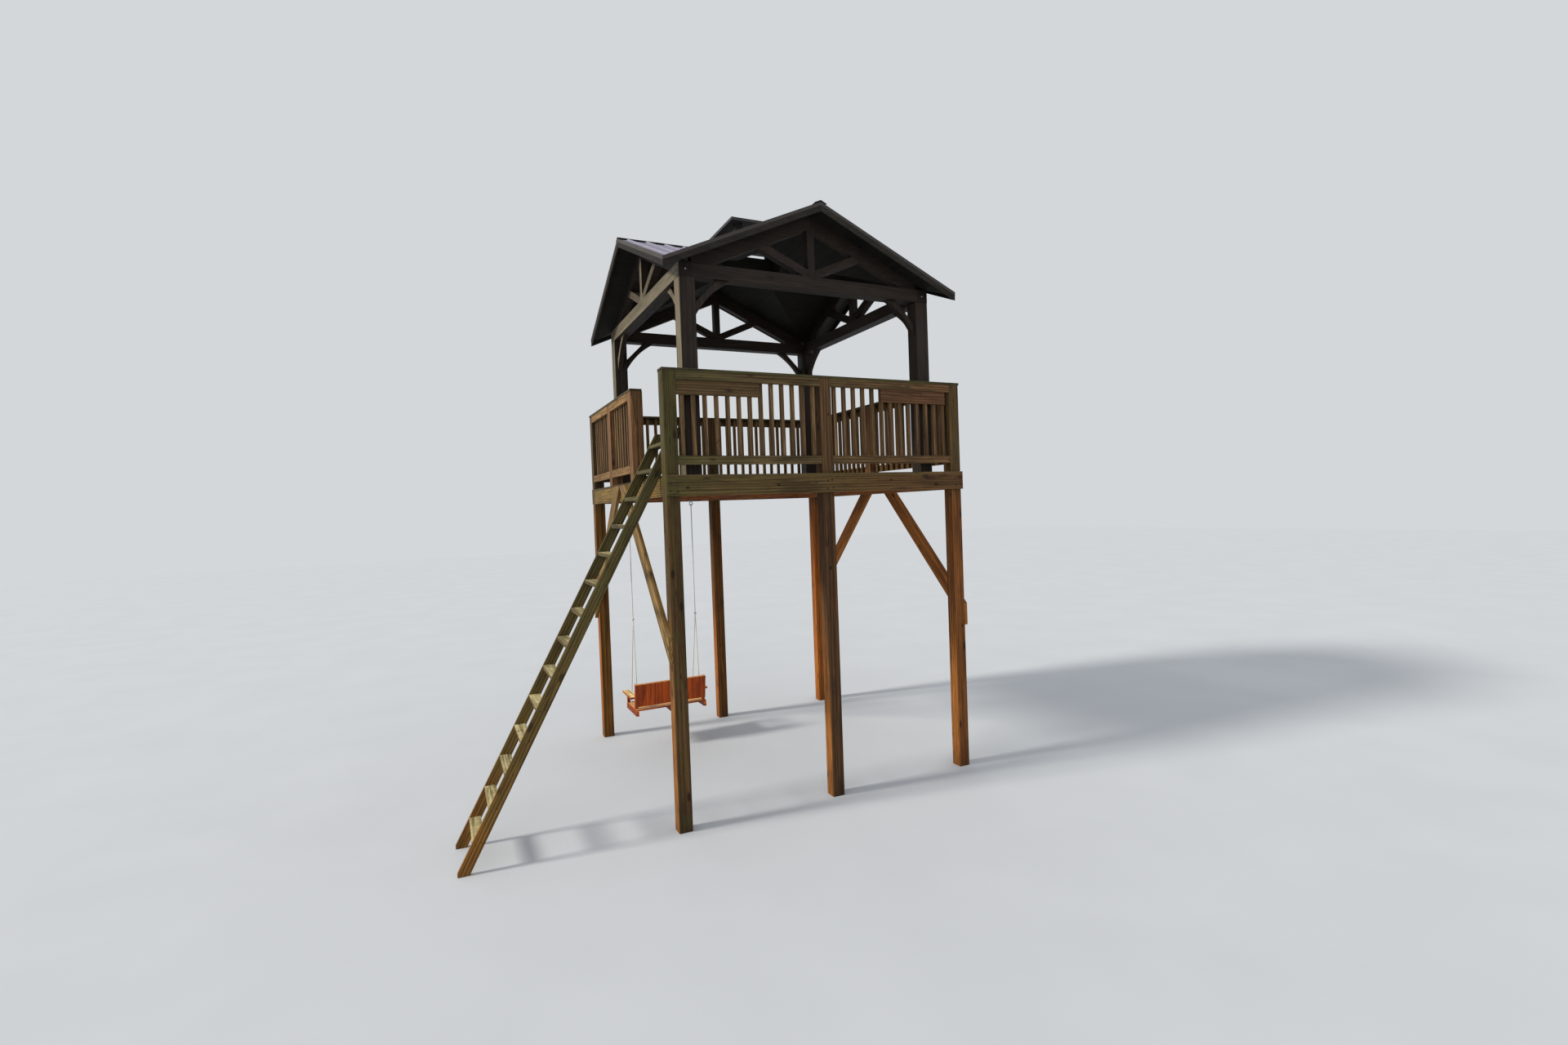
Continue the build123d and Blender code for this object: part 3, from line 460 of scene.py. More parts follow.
wood = {
    # The lit colours of the posts are painted sunlight on their low left faces
    "post": timber("post_wood", "Z", POSTS, lit=srgb(146, 92, 40), moss=0.25,
                   moss_from=(-1.5, -1.8), foot=0.5, cracks=0.8, knots=0.8,
                   marks=(((0.03, -0.07, 4.20), (0.013, 0.05, 0.022)),
                          ((-0.01, -0.07, 2.52), (0.018, 0.05, 0.030)),
                          ((1.79, -0.07, 1.7), (0.016, 0.05, 0.028)))),
    "back_post": timber("back_post_wood", "Z", BACK_POSTS, lit=srgb(150, 86, 28), moss=0.15,
                        foot=0.45),
    "rim_x": timber("rim_wood_x", "X", FRONT, moss=0.4, moss_from=(-1.3, -1.85), stain=0.6,
                    knots=0.7,
                    marks=(((-0.62, -0.108, 3.44), (0.030, 0.05, 0.018)),
                           ((0.80, -0.108, 3.47), (0.020, 0.05, 0.013)),
                           ((1.43, -0.108, 3.41), (0.042, 0.05, 0.020)),
                           ((-1.62, -0.108, 3.43), (0.024, 0.05, 0.016)))),
    "rim_y": timber("rim_wood_y", "Y", RIM_SIDE, moss=0.3, moss_from=(-1.2, -1.8)),
    "rail_x": timber("rail_wood_x", "X", RAILS, moss=0.35, moss_from=(-1.0, -1.8),
                     stain=0.55),
    "rail_y": timber("rail_wood_y", "Y", RAIL_SIDE, moss=0.12),
    "cap_x": timber("cap_wood_x", "X", CAP_WOOD, moss=0.5, top=CAP_WORN, cracks=0.9),
    "cap_y": timber("cap_wood_y", "Y", CAP_WOOD, moss=0.3, top=CAP_WORN, cracks=0.9),
    "baluster": timber("baluster_wood", "Z", srgb(96, 74, 50), knots=0.3, spread=0.26,
                       contrast=0.9),
    "rail_post": timber("rail_post_wood", "Z", srgb(104, 75, 49), knots=0.7),
    "joist": timber("joist_wood", "Y", srgb(132, 76, 30), knots=0.5),
    "decking": timber("decking_wood", "X", srgb(88, 70, 46), moss=0.3,
                      top=srgb(122, 114, 98), spread=0.2, cracks=0.8),
    "brace": timber("brace_wood", "Y", BRACES, fold=("Y", MIDDLE_Y),
                    turn=(math.radians(-135), 0, 0), knots=0.7, spread=0.1),
    "stained_z": timber("stained_wood_z", "Z", STAIN, **stained_painted_sunlit),
    "stained_x": timber("stained_wood_x", "X", STAIN, **stained_painted_sunlit),
    "stained_y": timber("stained_wood_y", "Y", STAIN, **stained_painted_sunlit),
    "rafter": timber("rafter_wood", "X", STAIN, **stained),
    "underside_x": timber("roof_board_wood_x", "X", PAINTED_SHADE_STAIN, grain_bump=0.35, **roof_wood),
    "underside_y": timber("roof_board_wood_y", "Y", PAINTED_SHADE_STAIN, grain_bump=0.35, **roof_wood),
    "rake": timber("rake_board_wood", "X", srgb(40, 37, 34), **roof_wood),
    "curb": timber("vent_curb_wood", "X", srgb(30, 31, 28), **roof_wood),
    "stringer": timber("stringer_wood", "X", LADDER, turn=(0, LADDER_LEAN, 0), moss=0.12,
                       stain=0.5, knots=0.7, spread=0.06),
    # The treads' top colour is painted sunlight on their upper faces
    "tread": timber("tread_wood", "Y", TREADS, moss=0.3, knots=0.2, top=srgb(178, 168, 130)),
    "sign": timber("sign_wood", "X", SIGNS, knots=0.6, spread=0.05, contrast=0.8),
    # The bench's top colours are painted sunlight on its upper faces
    "bench_x": timber("bench_wood_x", "X", srgb(158, 68, 10), top=srgb(214, 166, 104),
                      **bench_wood),
    "bench_z": timber("bench_wood_z", "Z", srgb(150, 62, 8), knots=0.1, sheen=0.5, stain=0.2,
                      contrast=0.6, cracks=0.1, spread=0.12, top=srgb(196, 136, 74),
                      turn=(-BENCH_LEAN, 0, 0)),
    "bench_y": timber("bench_wood_y", "Y", srgb(156, 74, 14), top=srgb(216, 190, 128),
                      **bench_wood),
}


# ---------------------------------------------------------------- metals and rope
SHEET_ROUGHNESS = 0.55


def sheet_metal(name, tone, metallic=0.3):
    """Factory-coated roofing sheet, dulled and streaked by weather."""
    n = Nodes(name, roughness=SHEET_ROUGHNESS, metallic=metallic, specular=0.5)
    place = n.place()
    cloud = n.noise(place, scale=3.5, detail=5.0, rough=0.6, distortion=0.4)
    speck = n.noise(place, scale=60.0, detail=4.0, rough=0.7)
    spots = n.noise(place, scale=17.0, detail=3.0, rough=0.5, distortion=0.8)
    colour = n.ramp(cloud, [(0.3, dimmed(tone, 0.76)), (0.7, tone)])
    colour = n.mix(n.fade(speck, 0.55, 0.75, 0.0, 0.35), colour, dimmed(tone, 0.5))
    colour = n.mix(n.fade(spots, 0.64, 0.72, 0.0, 0.2), colour, srgb(92, 74, 56))
    n.colour(colour)
    n.roughness(n.fade(cloud, 0.3, 0.7, SHEET_ROUGHNESS - 0.06, SHEET_ROUGHNESS + 0.18))
    n.bump(speck, 0.15, 0.001)
    return n.mat


def rope_material():
    """White laid rope: its strands are a slanted band pattern, darker grey between them, with
    patches of dirt.
    """
    n = Nodes("laid_rope", roughness=0.9, specular=0.1)
    place = n.place()
    strands = n.add("ShaderNodeTexWave", wave_type="BANDS", bands_direction="DIAGONAL")
    strands.inputs["Scale"].default_value = 55.0
    strands.inputs["Distortion"].default_value = 0.6
    n.link(place, strands.inputs["Vector"])
    dirt = n.noise(place, scale=12.0, detail=4.0, rough=0.6)
    colour = n.ramp(strands.outputs["Fac"],
                    [(0.1, srgb(150, 146, 134)), (0.6, srgb(222, 218, 208))])
    colour = n.mix(n.fade(dirt, 0.5, 0.75, 0.0, 0.5), colour, srgb(164, 152, 130))
    n.colour(colour)
    n.bump(strands.outputs["Fac"], 0.8, 0.002)
    return n.mat


def steel_material(name, tone, rust=0.3, metallic=0.9):
    """Steel that is darker in patches and rusty in some of them."""
    n = Nodes(name, roughness=0.45, metallic=metallic, specular=0.5)
    cloud = n.noise(n.place(), scale=90.0, detail=4.0, rough=0.65)
    colour = n.ramp(cloud, [(0.35, dimmed(tone, 0.6)), (0.65, tone)])
    colour = n.mix(n.fade(cloud, 0.5, 0.7, 0.0, rust), colour, srgb(104, 62, 36))
    n.colour(colour)
    n.roughness(n.fade(cloud, 0.3, 0.7, 0.35, 0.6))
    return n.mat


metal = sheet_metal("ribbed_roof_metal", srgb(134, 131, 150))
trim = sheet_metal("edge_trim_metal", srgb(56, 50, 46), metallic=0.2)
ridge_metal = sheet_metal("ridge_cap_metal", srgb(72, 70, 76))
vent_metal = sheet_metal("vent_cap_metal", srgb(44, 40, 40), metallic=0.2)
rope = rope_material()
steel = steel_material("galvanised_steel", srgb(152, 152, 148))
nail = steel_material("nail_heads", srgb(38, 33, 29), rust=0.4, metallic=0.5)

# ---------------------------------------------------------------- materials of the CAD nodes
WOOD_OF_NODES = {
    "posts_front": "post", "posts_back": "back_post", "rail_posts": "rail_post",
    "rim_front": "rim_x", "rim_back": "rim_x", "rim_left": "rim_y", "rim_right": "rim_y",
    "joists": "joist", "deck_boards": "decking", "braces_left": "brace",
    "braces_right": "brace", "railing_front": "rail_x", "railing_back": "rail_x",
    "railing_left": "rail_y", "railing_right": "rail_y", "rail_caps_front_back": "cap_x",
    "rail_caps_sides": "cap_y", "sign_boards": "sign", "pavilion_posts": "stained_z",
    "tie_beam_front": "stained_x", "tie_beam_back": "stained_x", "tie_beam_left": "stained_y",
    "tie_beam_right": "stained_y", "knee_braces": "stained_z", "king_posts": "stained_z",
    "truss_rafters": "rafter", "truss_struts": "stained_x",
    "roof_boards_front_back": "underside_y", "roof_boards_sides": "underside_x",
    "rake_boards_left_hand": "rake", "rake_boards_right_hand": "rake",
    "vent_curb": "curb", "ladder_stringers": "stringer", "ladder_treads": "tread",
    "bench_seat": "bench_x", "bench_back": "bench_z", "bench_arms": "bench_y",
}
materials = {
    **{node: wood[key] for node, key in WOOD_OF_NODES.items()},
    "roof_metal_front_back": metal, "roof_metal_sides": metal,
    "rake_trim_left_hand": trim, "rake_trim_right_hand": trim,
    "ridge_caps": ridge_metal, "vent_cap": vent_metal,
    "rope_hangers": steel, "bench_ropes": rope,
}
for node, material in materials.items():
    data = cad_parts[node].data
    data.materials.clear()
    data.materials.append(material)

# The balusters share a node with their rails, and get wood with an upright grain. Their faces
# are the tall ones and the small level ones at their ends.
for node in ("railing_front", "railing_back", "railing_left", "railing_right"):
    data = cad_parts[node].data
    data.materials.append(wood["baluster"])
    for face in data.polygons:
        corners = [data.vertices[k].co for k in face.vertices]
        reach = [max(c[k] for c in corners) - min(c[k] for c in corners) for k in range(3)]
        if reach[2] > 0.3 or (reach[2] < 0.002 and max(reach[0], reach[1]) < 0.045):
            face.material_index = 1


# ---------------------------------------------------------------- boards that scene.py draws
def add_piece(bm, name, body, material):
    """The finished mesh as an object that rides on a body."""
    data = bpy.data.meshes.new(name)
    bm.to_mesh(data)
    bm.free()
    data.materials.append(material)
    piece = bpy.data.objects.new(name, data)
    bpy.context.scene.collection.objects.link(piece)
    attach(piece, body)
    return piece


def boards(name, outlines, spans, material, ease=0.003, turns=(0,),
           middle_y=0.0):
    """Boards with eased edges: each X and Z outline is swept along Y over each span.

    Each turn, a number of quarters round the upright axis at x 0 and middle_y, makes another
    set, and outlines and spans are measured from that axis.
    """
    bm = bmesh.new()
    for turn in turns:
        cos, sin = ((1, 0), (0, 1), (-1, 0), (0, -1))[turn]
        for outline, (near_y, far_y) in [(o, span) for o in outlines for span in spans]:
            ends = [[bm.verts.new((x * cos - y * sin, middle_y + x * sin + y * cos, z))
                     for x, z in outline] for y in (near_y, far_y)]
            bm.faces.new(ends[0])
            bm.faces.new(reversed(ends[1]))
            count = len(outline)
            for k in range(count):
                after = (k + 1) % count
                bm.faces.new((ends[0][k], ends[1][k], ends[1][after], ends[0][after]))
    bmesh.ops.recalc_face_normals(bm, faces=bm.faces)
    sharp = [edge for edge in bm.edges if edge.calc_face_angle() > math.radians(15)]
    bmesh.ops.bevel(bm, geom=sharp, offset=ease, segments=2, profile=0.5,
                    affect="EDGES", clamp_overlap=True)
    return add_piece(bm, name, SHELTER, material)


def rectangle(left, right, low, high):
    return [(left, low), (right, low), (right, high), (left, high)]


# The ladder: two side boards that end level on the floor and at their tops, and level treads
RUN = 1 / math.tan(LADDER_LEAN)
BOARD_DEPTH, TREAD_DEPTH = 0.105, 0.106
LEVEL = BOARD_DEPTH / math.sin(LADDER_LEAN)
LADDER_TOP = 4.049
# The side boards lean on the deck's edge with this gap
LADDER_GAP = 0.0003
TREAD_TOPS = [0.283 + 0.280 * k for k in range(14)]


def stringer_x(height):
    """Where a stringer's lower edge stands at a height."""
    return -HALF - LADDER_GAP + (height - DECK) * RUN


def tread_middle(top):
    """The middle of a tread: its x and its z."""
    z = top - PLANK / 2
    return stringer_x(z) - LEVEL / 2, z


TOE = CAD_BOX[0][0]
toe_height = (TOE - stringer_x(0) + LEVEL) / RUN
side = [(stringer_x(0), 0), (stringer_x(LADDER_TOP), LADDER_TOP),
        (stringer_x(LADDER_TOP) - LEVEL, LADDER_TOP), (TOE, toe_height), (TOE, 0)]
stringers = boards("ladder_side_boards", [side], LADDER_SIDES, wood["stringer"])
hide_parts("ladder_stringers")
outlines = []
for top in TREAD_TOPS:
    x = tread_middle(top)[0]
    outlines.append(rectangle(x - TREAD_DEPTH / 2, x + TREAD_DEPTH / 2, top - PLANK, top))
between_sides = (LADDER_SIDES[0][1], LADDER_SIDES[1][0])
treads = boards("ladder_tread_boards", outlines, [between_sides], wood["tread"])
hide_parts("ladder_treads")

# The pavilion's posts, from the deck to the tie beams
PAV_POST = 0.172
INNER = PAV - PAV_POST
posts = boards("pavilion_post_timbers", [rectangle(-PAV, -INNER, DECK, TIE_LOW)],
               [(-PAV, -INNER)], wood["stained_z"], ease=0.006,
               turns=range(4), middle_y=PAV_Y)
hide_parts("pavilion_posts")

# Curved knee braces: the straight legs and the ends of the hollow, measured from the corner
LEG, REACH, HOLLOW = 0.255, 0.400, 0.041
KNEE, KNEE_IN = 0.064, 0.041
ARC_STEPS = 6
radius = (REACH ** 2 / 2 + HOLLOW ** 2) / (2 * HOLLOW)
away = REACH / 2 + (radius - HOLLOW) * math.sqrt(0.5)
opening = math.asin(REACH * math.sqrt(0.5) / radius)
outlines = []
for hand in (-1, 1):
    outline = [(0, -REACH), (0, -LEG), (LEG, 0), (REACH, 0)]
    for k in range(1, 2 * ARC_STEPS):
        angle = math.pi * 0.75 + opening * (k / ARC_STEPS - 1)
        outline.append((away + radius * math.cos(angle), radius * math.sin(angle) - away))
    outlines.append([(hand * (INNER - x), TIE_LOW + z) for x, z in outline])
knees = boards("knee_brace_timbers", outlines, [(-PAV + KNEE_IN, -PAV + KNEE_IN + KNEE)],
               wood["stained_z"], turns=range(4), middle_y=PAV_Y)
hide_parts("knee_braces")

# The vent's lid, which reaches past its walls, and the narrow caps on the four ridges
LID, LID_TOP, LID_DEPTH = 0.522, CAD_BOX[1][2], 0.038
lid = boards("vent_lid", [rectangle(-LID, LID, LID_TOP - LID_DEPTH, LID_TOP)],
             [(PAV_Y - LID, PAV_Y + LID)], vent_metal, ease=0.004)
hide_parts("vent_cap")
RIDGE_TOP = max(v.co.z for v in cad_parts["ridge_caps"].data.vertices)
WING, CAP_SHEET = 0.072, 0.0022
wing_edge = RIDGE_TOP - WING * math.tan(ROOF_PITCH)
ridge = boards("ridge_cap_sheets",
               [[(0, RIDGE_TOP), (WING, wing_edge), (WING, wing_edge - CAP_SHEET),
                 (0, RIDGE_TOP - CAP_SHEET), (-WING, wing_edge - CAP_SHEET),
                 (-WING, wing_edge)]], [(-ROOF_EDGE, -CURB_HALF)],
               ridge_metal, ease=0.0006, turns=range(4), middle_y=PAV_Y)
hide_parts("ridge_caps")

# The sign boards, whose upper edges meet the rail
SIGN_LOW, SIGN_HIGH = 4.360, 4.5045
signs = boards("sign_board_pair",
               [rectangle(start, start + SIGN_LENGTH, SIGN_LOW, SIGN_HIGH)
                for start in (-1.689, 0.731)], [(-0.051, -0.032)],
               wood["sign"], ease=0.002)
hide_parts("sign_boards")


# ---------------------------------------------------------------- nails, screws and bolts
# Rings of a head: the share of the radius, and the height in radii above the surface
HEAD_RINGS = ((1.0, -0.25), (1.0, 0.14), (0.78, 0.34), (0.36, 0.46))
# Heads on the part's outermost faces rise this much as far as others
FLAT = 0.15


def fasteners(name, spots, body, material, sides=8, rise=1.0):
    """One piece of many low domed heads. spots holds (centre, outward direction, radius)."""
    bm = bmesh.new()
    for centre, out, radius in spots:
        out = Vector(out).normalized()
        side = out.orthogonal().normalized()
        other = out.cross(side)
        start = chance.random() * math.tau
        angles = [start + math.tau * k / sides for k in range(sides)]
        rings = []
        for share, level in HEAD_RINGS:
            middle = Vector(centre) + out * level * rise * radius
            rings.append([bm.verts.new(middle + (side * math.cos(angle)
                                                 + other * math.sin(angle)) * share * radius)
                          for angle in angles])
        for lower, upper in zip(rings, rings[1:]):
            for k in range(sides):
                after = (k + 1) % sides
                bm.faces.new((lower[k], lower[after], upper[after], upper[k]))
        bm.faces.new(rings[-1])
    bm.normal_update()
    return add_piece(bm, name, body, material)


def near(value, reach=0.004):
    """The value, off by up to reach at random, as a fastener set by hand is."""
    return value + chance.uniform(-reach, reach)


# Radii of the heads
RIM_NAIL, RIM_BOLT, SIDE_RIM_NAIL, BRACE_BOLT = 0.0050, 0.0115, 0.0045, 0.010
BALUSTER_SCREW, SIGN_SCREW, CAP_SCREW, DECK_SCREW = 0.0042, 0.0048, 0.0045, 0.0045
LADDER_NAIL, BEAM_BOLT, ROOF_SCREW = 0.0055, 0.012, 0.007
HANGER_SCREW, BENCH_SCREW = 0.0055, 0.0036

# Nails through the rims into every joist, and bolts into the posts
for name, y, out, rise in (("rim_nails_front", FRONT_Y - PLANK, -1, 1.0),
                           ("rim_nails_back", BACK_Y + PLANK, 1, FLAT)):
    spots = []
    for x in JOISTS:
        spots += [((near(x, 0.006), y, near(RIM_LOW + up, 0.006)), (0, out, 0), RIM_NAIL)
                  for up in (0.035, 0.092, 0.150)]
    for x in POST_X:
        for dx in (-0.032, 0.034):
            spots += [((near(x + dx, 0.006), y, near(RIM_LOW + up, 0.008)), (0, out, 0),
                       RIM_BOLT) for up in (0.048, 0.132)]
    fasteners(name, spots, SHELTER, nail, rise=rise)
spots = []
for x, out in ((-HALF, -1), (HALF, 1)):
    for y in (FRONT_Y + 0.19, BACK_Y - 0.19):
        spots += [((x, near(y), near(RIM_LOW + up)), (out, 0, 0), SIDE_RIM_NAIL)
                  for up in (0.05, 0.13)]
fasteners("rim_nails_sides", spots, SHELTER, nail)

# Bolts where the braces lie on the posts and on the side rims
spots = []
for x, out in ((-HALF - PLANK, -1), (HALF + PLANK, 1)):
    for end, way in ((FRONT_Y, 1), (BACK_Y, -1)):
        for along, up in ((0.045, 0.10), (0.095, 0.20), (0.050, 0.215)):
            # the braces rise at 45 degrees to the deck's middle
            low = RIM_HIGH - (BACK_Y - FRONT_Y) / 2 + along
            spots.append(((x, end + way * along, low + up), (out, 0, 0), BRACE_BOLT))
        for back, down in ((0.10, 0.035), (0.17, 0.080), (0.20, 0.030)):
            spots.append(((x, MIDDLE_Y - way * back, RIM_HIGH - down), (out, 0, 0),
                          BRACE_BOLT))
fasteners("brace_bolts", spots, SHELTER, nail, rise=FLAT)


def baluster_places(low, high):
    """The middles of the balusters in a bay between two posts."""
    count = int((high - low) / BALUSTER_PITCH)
    return [(low + high) / 2 + (k - (count - 1) / 2) * BALUSTER_PITCH for k in range(count)]


# Screws through the rails into every baluster, on the side that faces the deck
INSIDE = 2 * PLANK
spots = []
for y, out in ((FRONT_Y, -1), (BACK_Y, 1)):
    for bay in ((-1.689, -0.070), (0.070, 1.689)):
        for x in baluster_places(*bay):
            spots += [((near(x), y - out * INSIDE, near(z, 0.008)), (0, -out, 0),
                       BALUSTER_SCREW) for z in RAIL_MIDDLES]
for x, out, bays in ((-HALF, -1, ((1.340, 2.290), (2.430, 3.448))),
                     (HALF, 1, ((0.070, 1.689), (1.829, 3.448)))):
    for bay in bays:
        for y in baluster_places(*bay):
            spots += [((x - out * INSIDE, near(y), near(z, 0.008)), (-out, 0, 0),
                       BALUSTER_SCREW) for z in RAIL_MIDDLES]
fasteners("baluster_screws", spots, SHELTER, nail)

# Four screws in each sign board
spots = []
low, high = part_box("sign_boards")
for start in (low[0], high[0] - SIGN_LENGTH):
    for dx in (0.045, 0.865):
        spots += [((near(start + dx), low[1], near(low[2] + up)), (0, -1, 0), SIGN_SCREW)
                  for up in (0.035, 0.105)]
fasteners("sign_screws", spots, SHELTER, nail)

# Screws in the caps, at every post and between
BESIDE = (-0.03, 0.03)
spots = []
for y in (FRONT_Y + CAP_HALF, BACK_Y - CAP_HALF):
    for x in (-1.78, -1.30, -0.88, -0.44, -0.035, 0.035, 0.44, 0.88, 1.30, 1.78):
        spots += [((near(x, 0.01), near(y + dy), CAP_TOP), (0, 0, 1), CAP_SCREW)
                  for dy in BESIDE]
for x, places in ((-HALF + CAP_HALF, (1.24, 1.31, 1.80, 2.33, 2.39, 2.95, 3.40)),
                  (HALF - CAP_HALF, (0.12, 0.65, 1.20, 1.73, 1.79, 2.35, 2.90, 3.40))):
    for y in places:
        spots += [((near(x + dx), near(y, 0.01), CAP_TOP), (0, 0, 1), CAP_SCREW)
                  for dx in BESIDE]
fasteners("cap_screws", spots, SHELTER, nail)

# Two screws through every deck board at every joist
DECK_BOARD, DECK_GAP = 0.140, 0.004
depth = BACK_Y - FRONT_Y + 2 * PLANK
count = round((depth + DECK_GAP) / (DECK_BOARD + DECK_GAP))
pitch = (depth - DECK_BOARD) / (count - 1)
spots = []
for k in range(count):
    y = MIDDLE_Y + (k - (count - 1) / 2) * pitch
    for x in JOISTS:
        spots += [((near(x, 0.005), near(y + dy, 0.005), DECK), (0, 0, 1), DECK_SCREW)
                  for dy in (-0.042, 0.042)]
fasteners("deck_screws", spots, SHELTER, nail, sides=6)

# Two nails through both stringers into every tread
spots = []
for y, out in ((LADDER_SIDES[0][0], -1), (LADDER_SIDES[1][1], 1)):
    for top in TREAD_TOPS:
        x, z = tread_middle(top)
        spots += [((near(x + dx), y, near(z + dz)), (0, out, 0), LADDER_NAIL)
                  for dx, dz in ((-0.022, -0.006), (0.022, 0.006))]
fasteners("ladder_nails", spots, SHELTER, nail)

# Bolts through the ends of the side tie beams and of the front and back ones
spots = []
for x, out in ((-PAV, -1), (PAV, 1)):
    for y in (PAV_Y - PAV + BEAM / 2, PAV_Y + PAV - BEAM / 2):
        spots += [((x, near(y), TIE_LOW + up), (out, 0, 0), BEAM_BOLT) for up in (0.045, 0.104)]
for y, out in ((PAV_Y - PAV, -1), (PAV_Y + PAV, 1)):
    for x in (-PAV + BEAM / 2, PAV - BEAM / 2):
        spots.append(((near(x), y, TIE_LOW + BEAM / 2), (0, out, 0), BEAM_BOLT))
fasteners("beam_bolts", spots, SHELTER, steel)

# Capped screws in the roof sheets beside the ribs, in rows down every slope
OVERHANG, RAKE_BOARD = 0.234, 0.019
ROOF_LAYERS = 0.040
RIB_PITCH, FIRST_RIB, BESIDE_RIB = 0.229, 0.0975, 0.040
FIRST_ROW, ROW_PITCH = 0.16, 0.58
# Screws keep off the valleys by this much, and off what the vent's lid covers
VALLEY_SPACE, VENT_REACH = 0.06, 0.52
boards_edge = PAV + OVERHANG - RAKE_BOARD
metal_top = TIE_LOW + BEAM + math.tan(ROOF_PITCH) * PAV + ROOF_LAYERS / math.cos(ROOF_PITCH)
spots = []
for turn in range(4):
    angle = turn * math.pi / 2
    sideways = Vector((math.cos(angle), math.sin(angle), 0))
    outward = Vector((math.sin(angle), -math.cos(angle), 0))
    for hand in (-1, 1):
        normal = (sideways * hand * math.sin(ROOF_PITCH)
                  + Vector((0, 0, math.cos(ROOF_PITCH))))
        for k in range(7):
            far = boards_edge - FIRST_RIB - k * RIB_PITCH + BESIDE_RIB
            for step in range(3):
                down = FIRST_ROW + ROW_PITCH * step
                if down > far - VALLEY_SPACE or (down < VENT_REACH and far < VENT_REACH):
                    continue
                point = (Vector((0, PAV_Y, metal_top - math.tan(ROOF_PITCH) * down))
                         + sideways * hand * down + outward * far)
                spots.append((point, normal, ROOF_SCREW))
fasteners("roof_screws", spots, SHELTER, steel)

# Screws in the hangers' plates, which are under two of the joists
HANGER_X, PLATE = (-0.625, -1.515), 0.006
spots = [((x, HANGER_Y + dy, RIM_LOW - PLATE), (0, 0, -1), HANGER_SCREW)
         for x in HANGER_X for dy in (-0.034, 0.034)]
fasteners("hanger_screws", spots, SHELTER, steel)

# Screws in the bench: slats on the bearers, back slats on the battens, arm rests on their posts
SLAT, SLAT_PITCH, SLAT_DEPTH = 0.095, 0.101, 0.019
BEARER_X, ARM_X, ARM_Y, ARM_HEIGHT = 0.4765, 0.478, 3.090, 0.165
spots = []
for k in range(5):
    y = SEAT_BACK + SLAT / 2 + SLAT_PITCH * k
    for x in (SWING_X - BEARER_X, SWING_X, SWING_X + BEARER_X):
        spots += [((near(x, 0.002), near(y + dy, 0.003), SEAT_TOP), (0, 0, 1), BENCH_SCREW)
                  for dy in (-0.026, 0.026)]
for hand in (-1, 1):
    spots += [((SWING_X + hand * ARM_X + dx, ARM_Y, SEAT_TOP + ARM_HEIGHT), (0, 0, 1),
               BENCH_SCREW) for dx in (-0.009, 0.009)]
fasteners("seat_screws", spots, SWING, steel)

BENCH_LENGTH, BACK_SLAT, BACK_SLATS, BACK_IN = 0.991, 0.087, 11, 0.045
BATTENS = (0.0585, 0.3225)
spots = []
for k in range(BACK_SLATS):
    x = (SWING_X + (k - (BACK_SLATS - 1) / 2) * (BENCH_LENGTH - BACK_SLAT)
         / (BACK_SLATS - 1))
    for up in BATTENS:
        y = (SEAT_BACK + BACK_IN - SLAT_DEPTH / math.cos(BENCH_LEAN)
             - up * math.sin(BENCH_LEAN))
        spots.append(((near(x, 0.003), y, SEAT_TOP + up * math.cos(BENCH_LEAN)),
                      (0, -math.cos(BENCH_LEAN), -math.sin(BENCH_LEAN)), BENCH_SCREW))
fasteners("back_screws", spots, SWING, steel)

# ---------------------------------------------------------------- floor, light and camera
FLOOR_HALF = 60
FLOOR_DARK, FLOOR_LIGHT = (0.505, 0.525, 0.555), (0.525, 0.545, 0.577)
SKY, SKY_STRENGTH = (0.84, 0.87, 0.90), 0.78

floor_material = Nodes("studio_floor", roughness=0.85, specular=0.2)
cloud = floor_material.noise(floor_material.place(), scale=0.8, detail=2.0, rough=0.5)
floor_material.colour(floor_material.ramp(cloud, [(0.3, FLOOR_DARK), (0.7, FLOOR_LIGHT)]))
mesh = bpy.data.meshes.new("studio_floor")
mesh.from_pydata([(-FLOOR_HALF, -FLOOR_HALF, 0), (FLOOR_HALF, -FLOOR_HALF, 0),
                  (FLOOR_HALF, FLOOR_HALF, 0), (-FLOOR_HALF, FLOOR_HALF, 0)], [],
                 [(0, 1, 2, 3)])
mesh.materials.append(floor_material.mat)
floor = bpy.data.objects.new("studio_floor", mesh)
bpy.context.scene.collection.objects.link(floor)

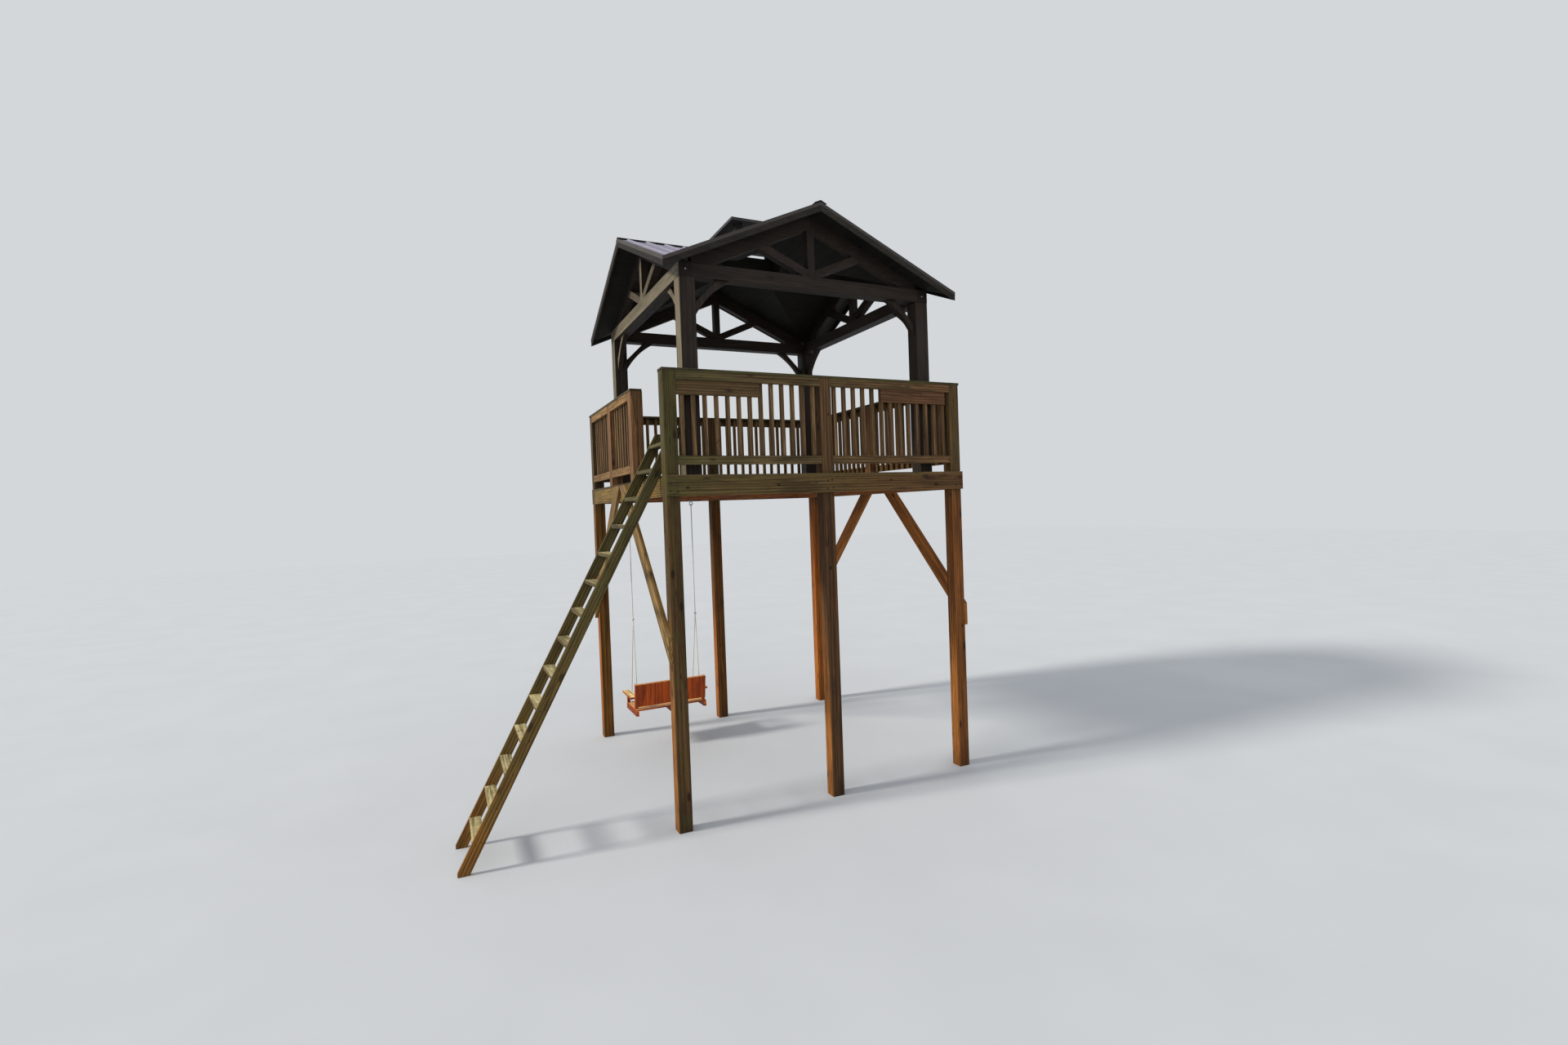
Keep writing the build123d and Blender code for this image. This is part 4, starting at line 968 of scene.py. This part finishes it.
world = bpy.data.worlds.new("studio_world")
bpy.context.scene.world = world
world.use_nodes = True
background = world.node_tree.nodes["Background"]
background.inputs["Color"].default_value = (*SKY, 1)
background.inputs["Strength"].default_value = SKY_STRENGTH


def sun(name, place, target, energy, colour, spread):
    """A sun that shines from place to target. A wider spread makes softer shadows."""
    data = bpy.data.lights.new(name, "SUN")
    data.energy = energy
    data.color = colour
    data.angle = math.radians(spread)
    obj = bpy.data.objects.new(name, data)
    obj.location = place
    aim = Vector(target) - Vector(place)
    obj.rotation_euler = aim.to_track_quat("-Z", "Y").to_euler()
    bpy.context.scene.collection.objects.link(obj)


sun("key_left", (-12, 3.2, 9.5), (0, 1.7, 2.5), 3.4, (1.0, 0.95, 0.86), 9)
sun("fill_front", (-3, -14, 6), (0, 1.7, 3), 0.55, (1.0, 0.97, 0.92), 50)

# The photograph's camera, solved from the edges of posts, rims, rails and beams. YAW turns it
# to the right, TILT upwards and ROLL anticlockwise. FOCAL is the focal length in pixels of a
# picture WIDTH pixels wide, and SENSOR the width in millimetres that stands for it.
EYE = (-3.8625, -6.8714, 3.1910)
YAW, TILT, ROLL = math.radians(25.914), math.radians(-1.132), math.radians(-2.080)
FOCAL, WIDTH, SENSOR = 873.34, 1920, 36.0
ahead = Vector((math.sin(YAW) * math.cos(TILT), math.cos(YAW) * math.cos(TILT),
                math.sin(TILT)))
level_right = Vector((math.cos(YAW), -math.sin(YAW), 0))
level_up = level_right.cross(ahead)
right = math.cos(ROLL) * level_right + math.sin(ROLL) * level_up
up = -math.sin(ROLL) * level_right + math.cos(ROLL) * level_up
turned = Matrix((right, up, -ahead)).transposed()
camera_data = bpy.data.cameras.new("camera")
camera_data.sensor_width = SENSOR
camera_data.lens = FOCAL / WIDTH * SENSOR
camera = bpy.data.objects.new("camera", camera_data)
camera.matrix_world = Matrix.Translation(EYE) @ turned.to_4x4()
bpy.context.scene.collection.objects.link(camera)
bpy.context.scene.camera = camera
bpy.context.scene.view_settings.view_transform = "Standard"
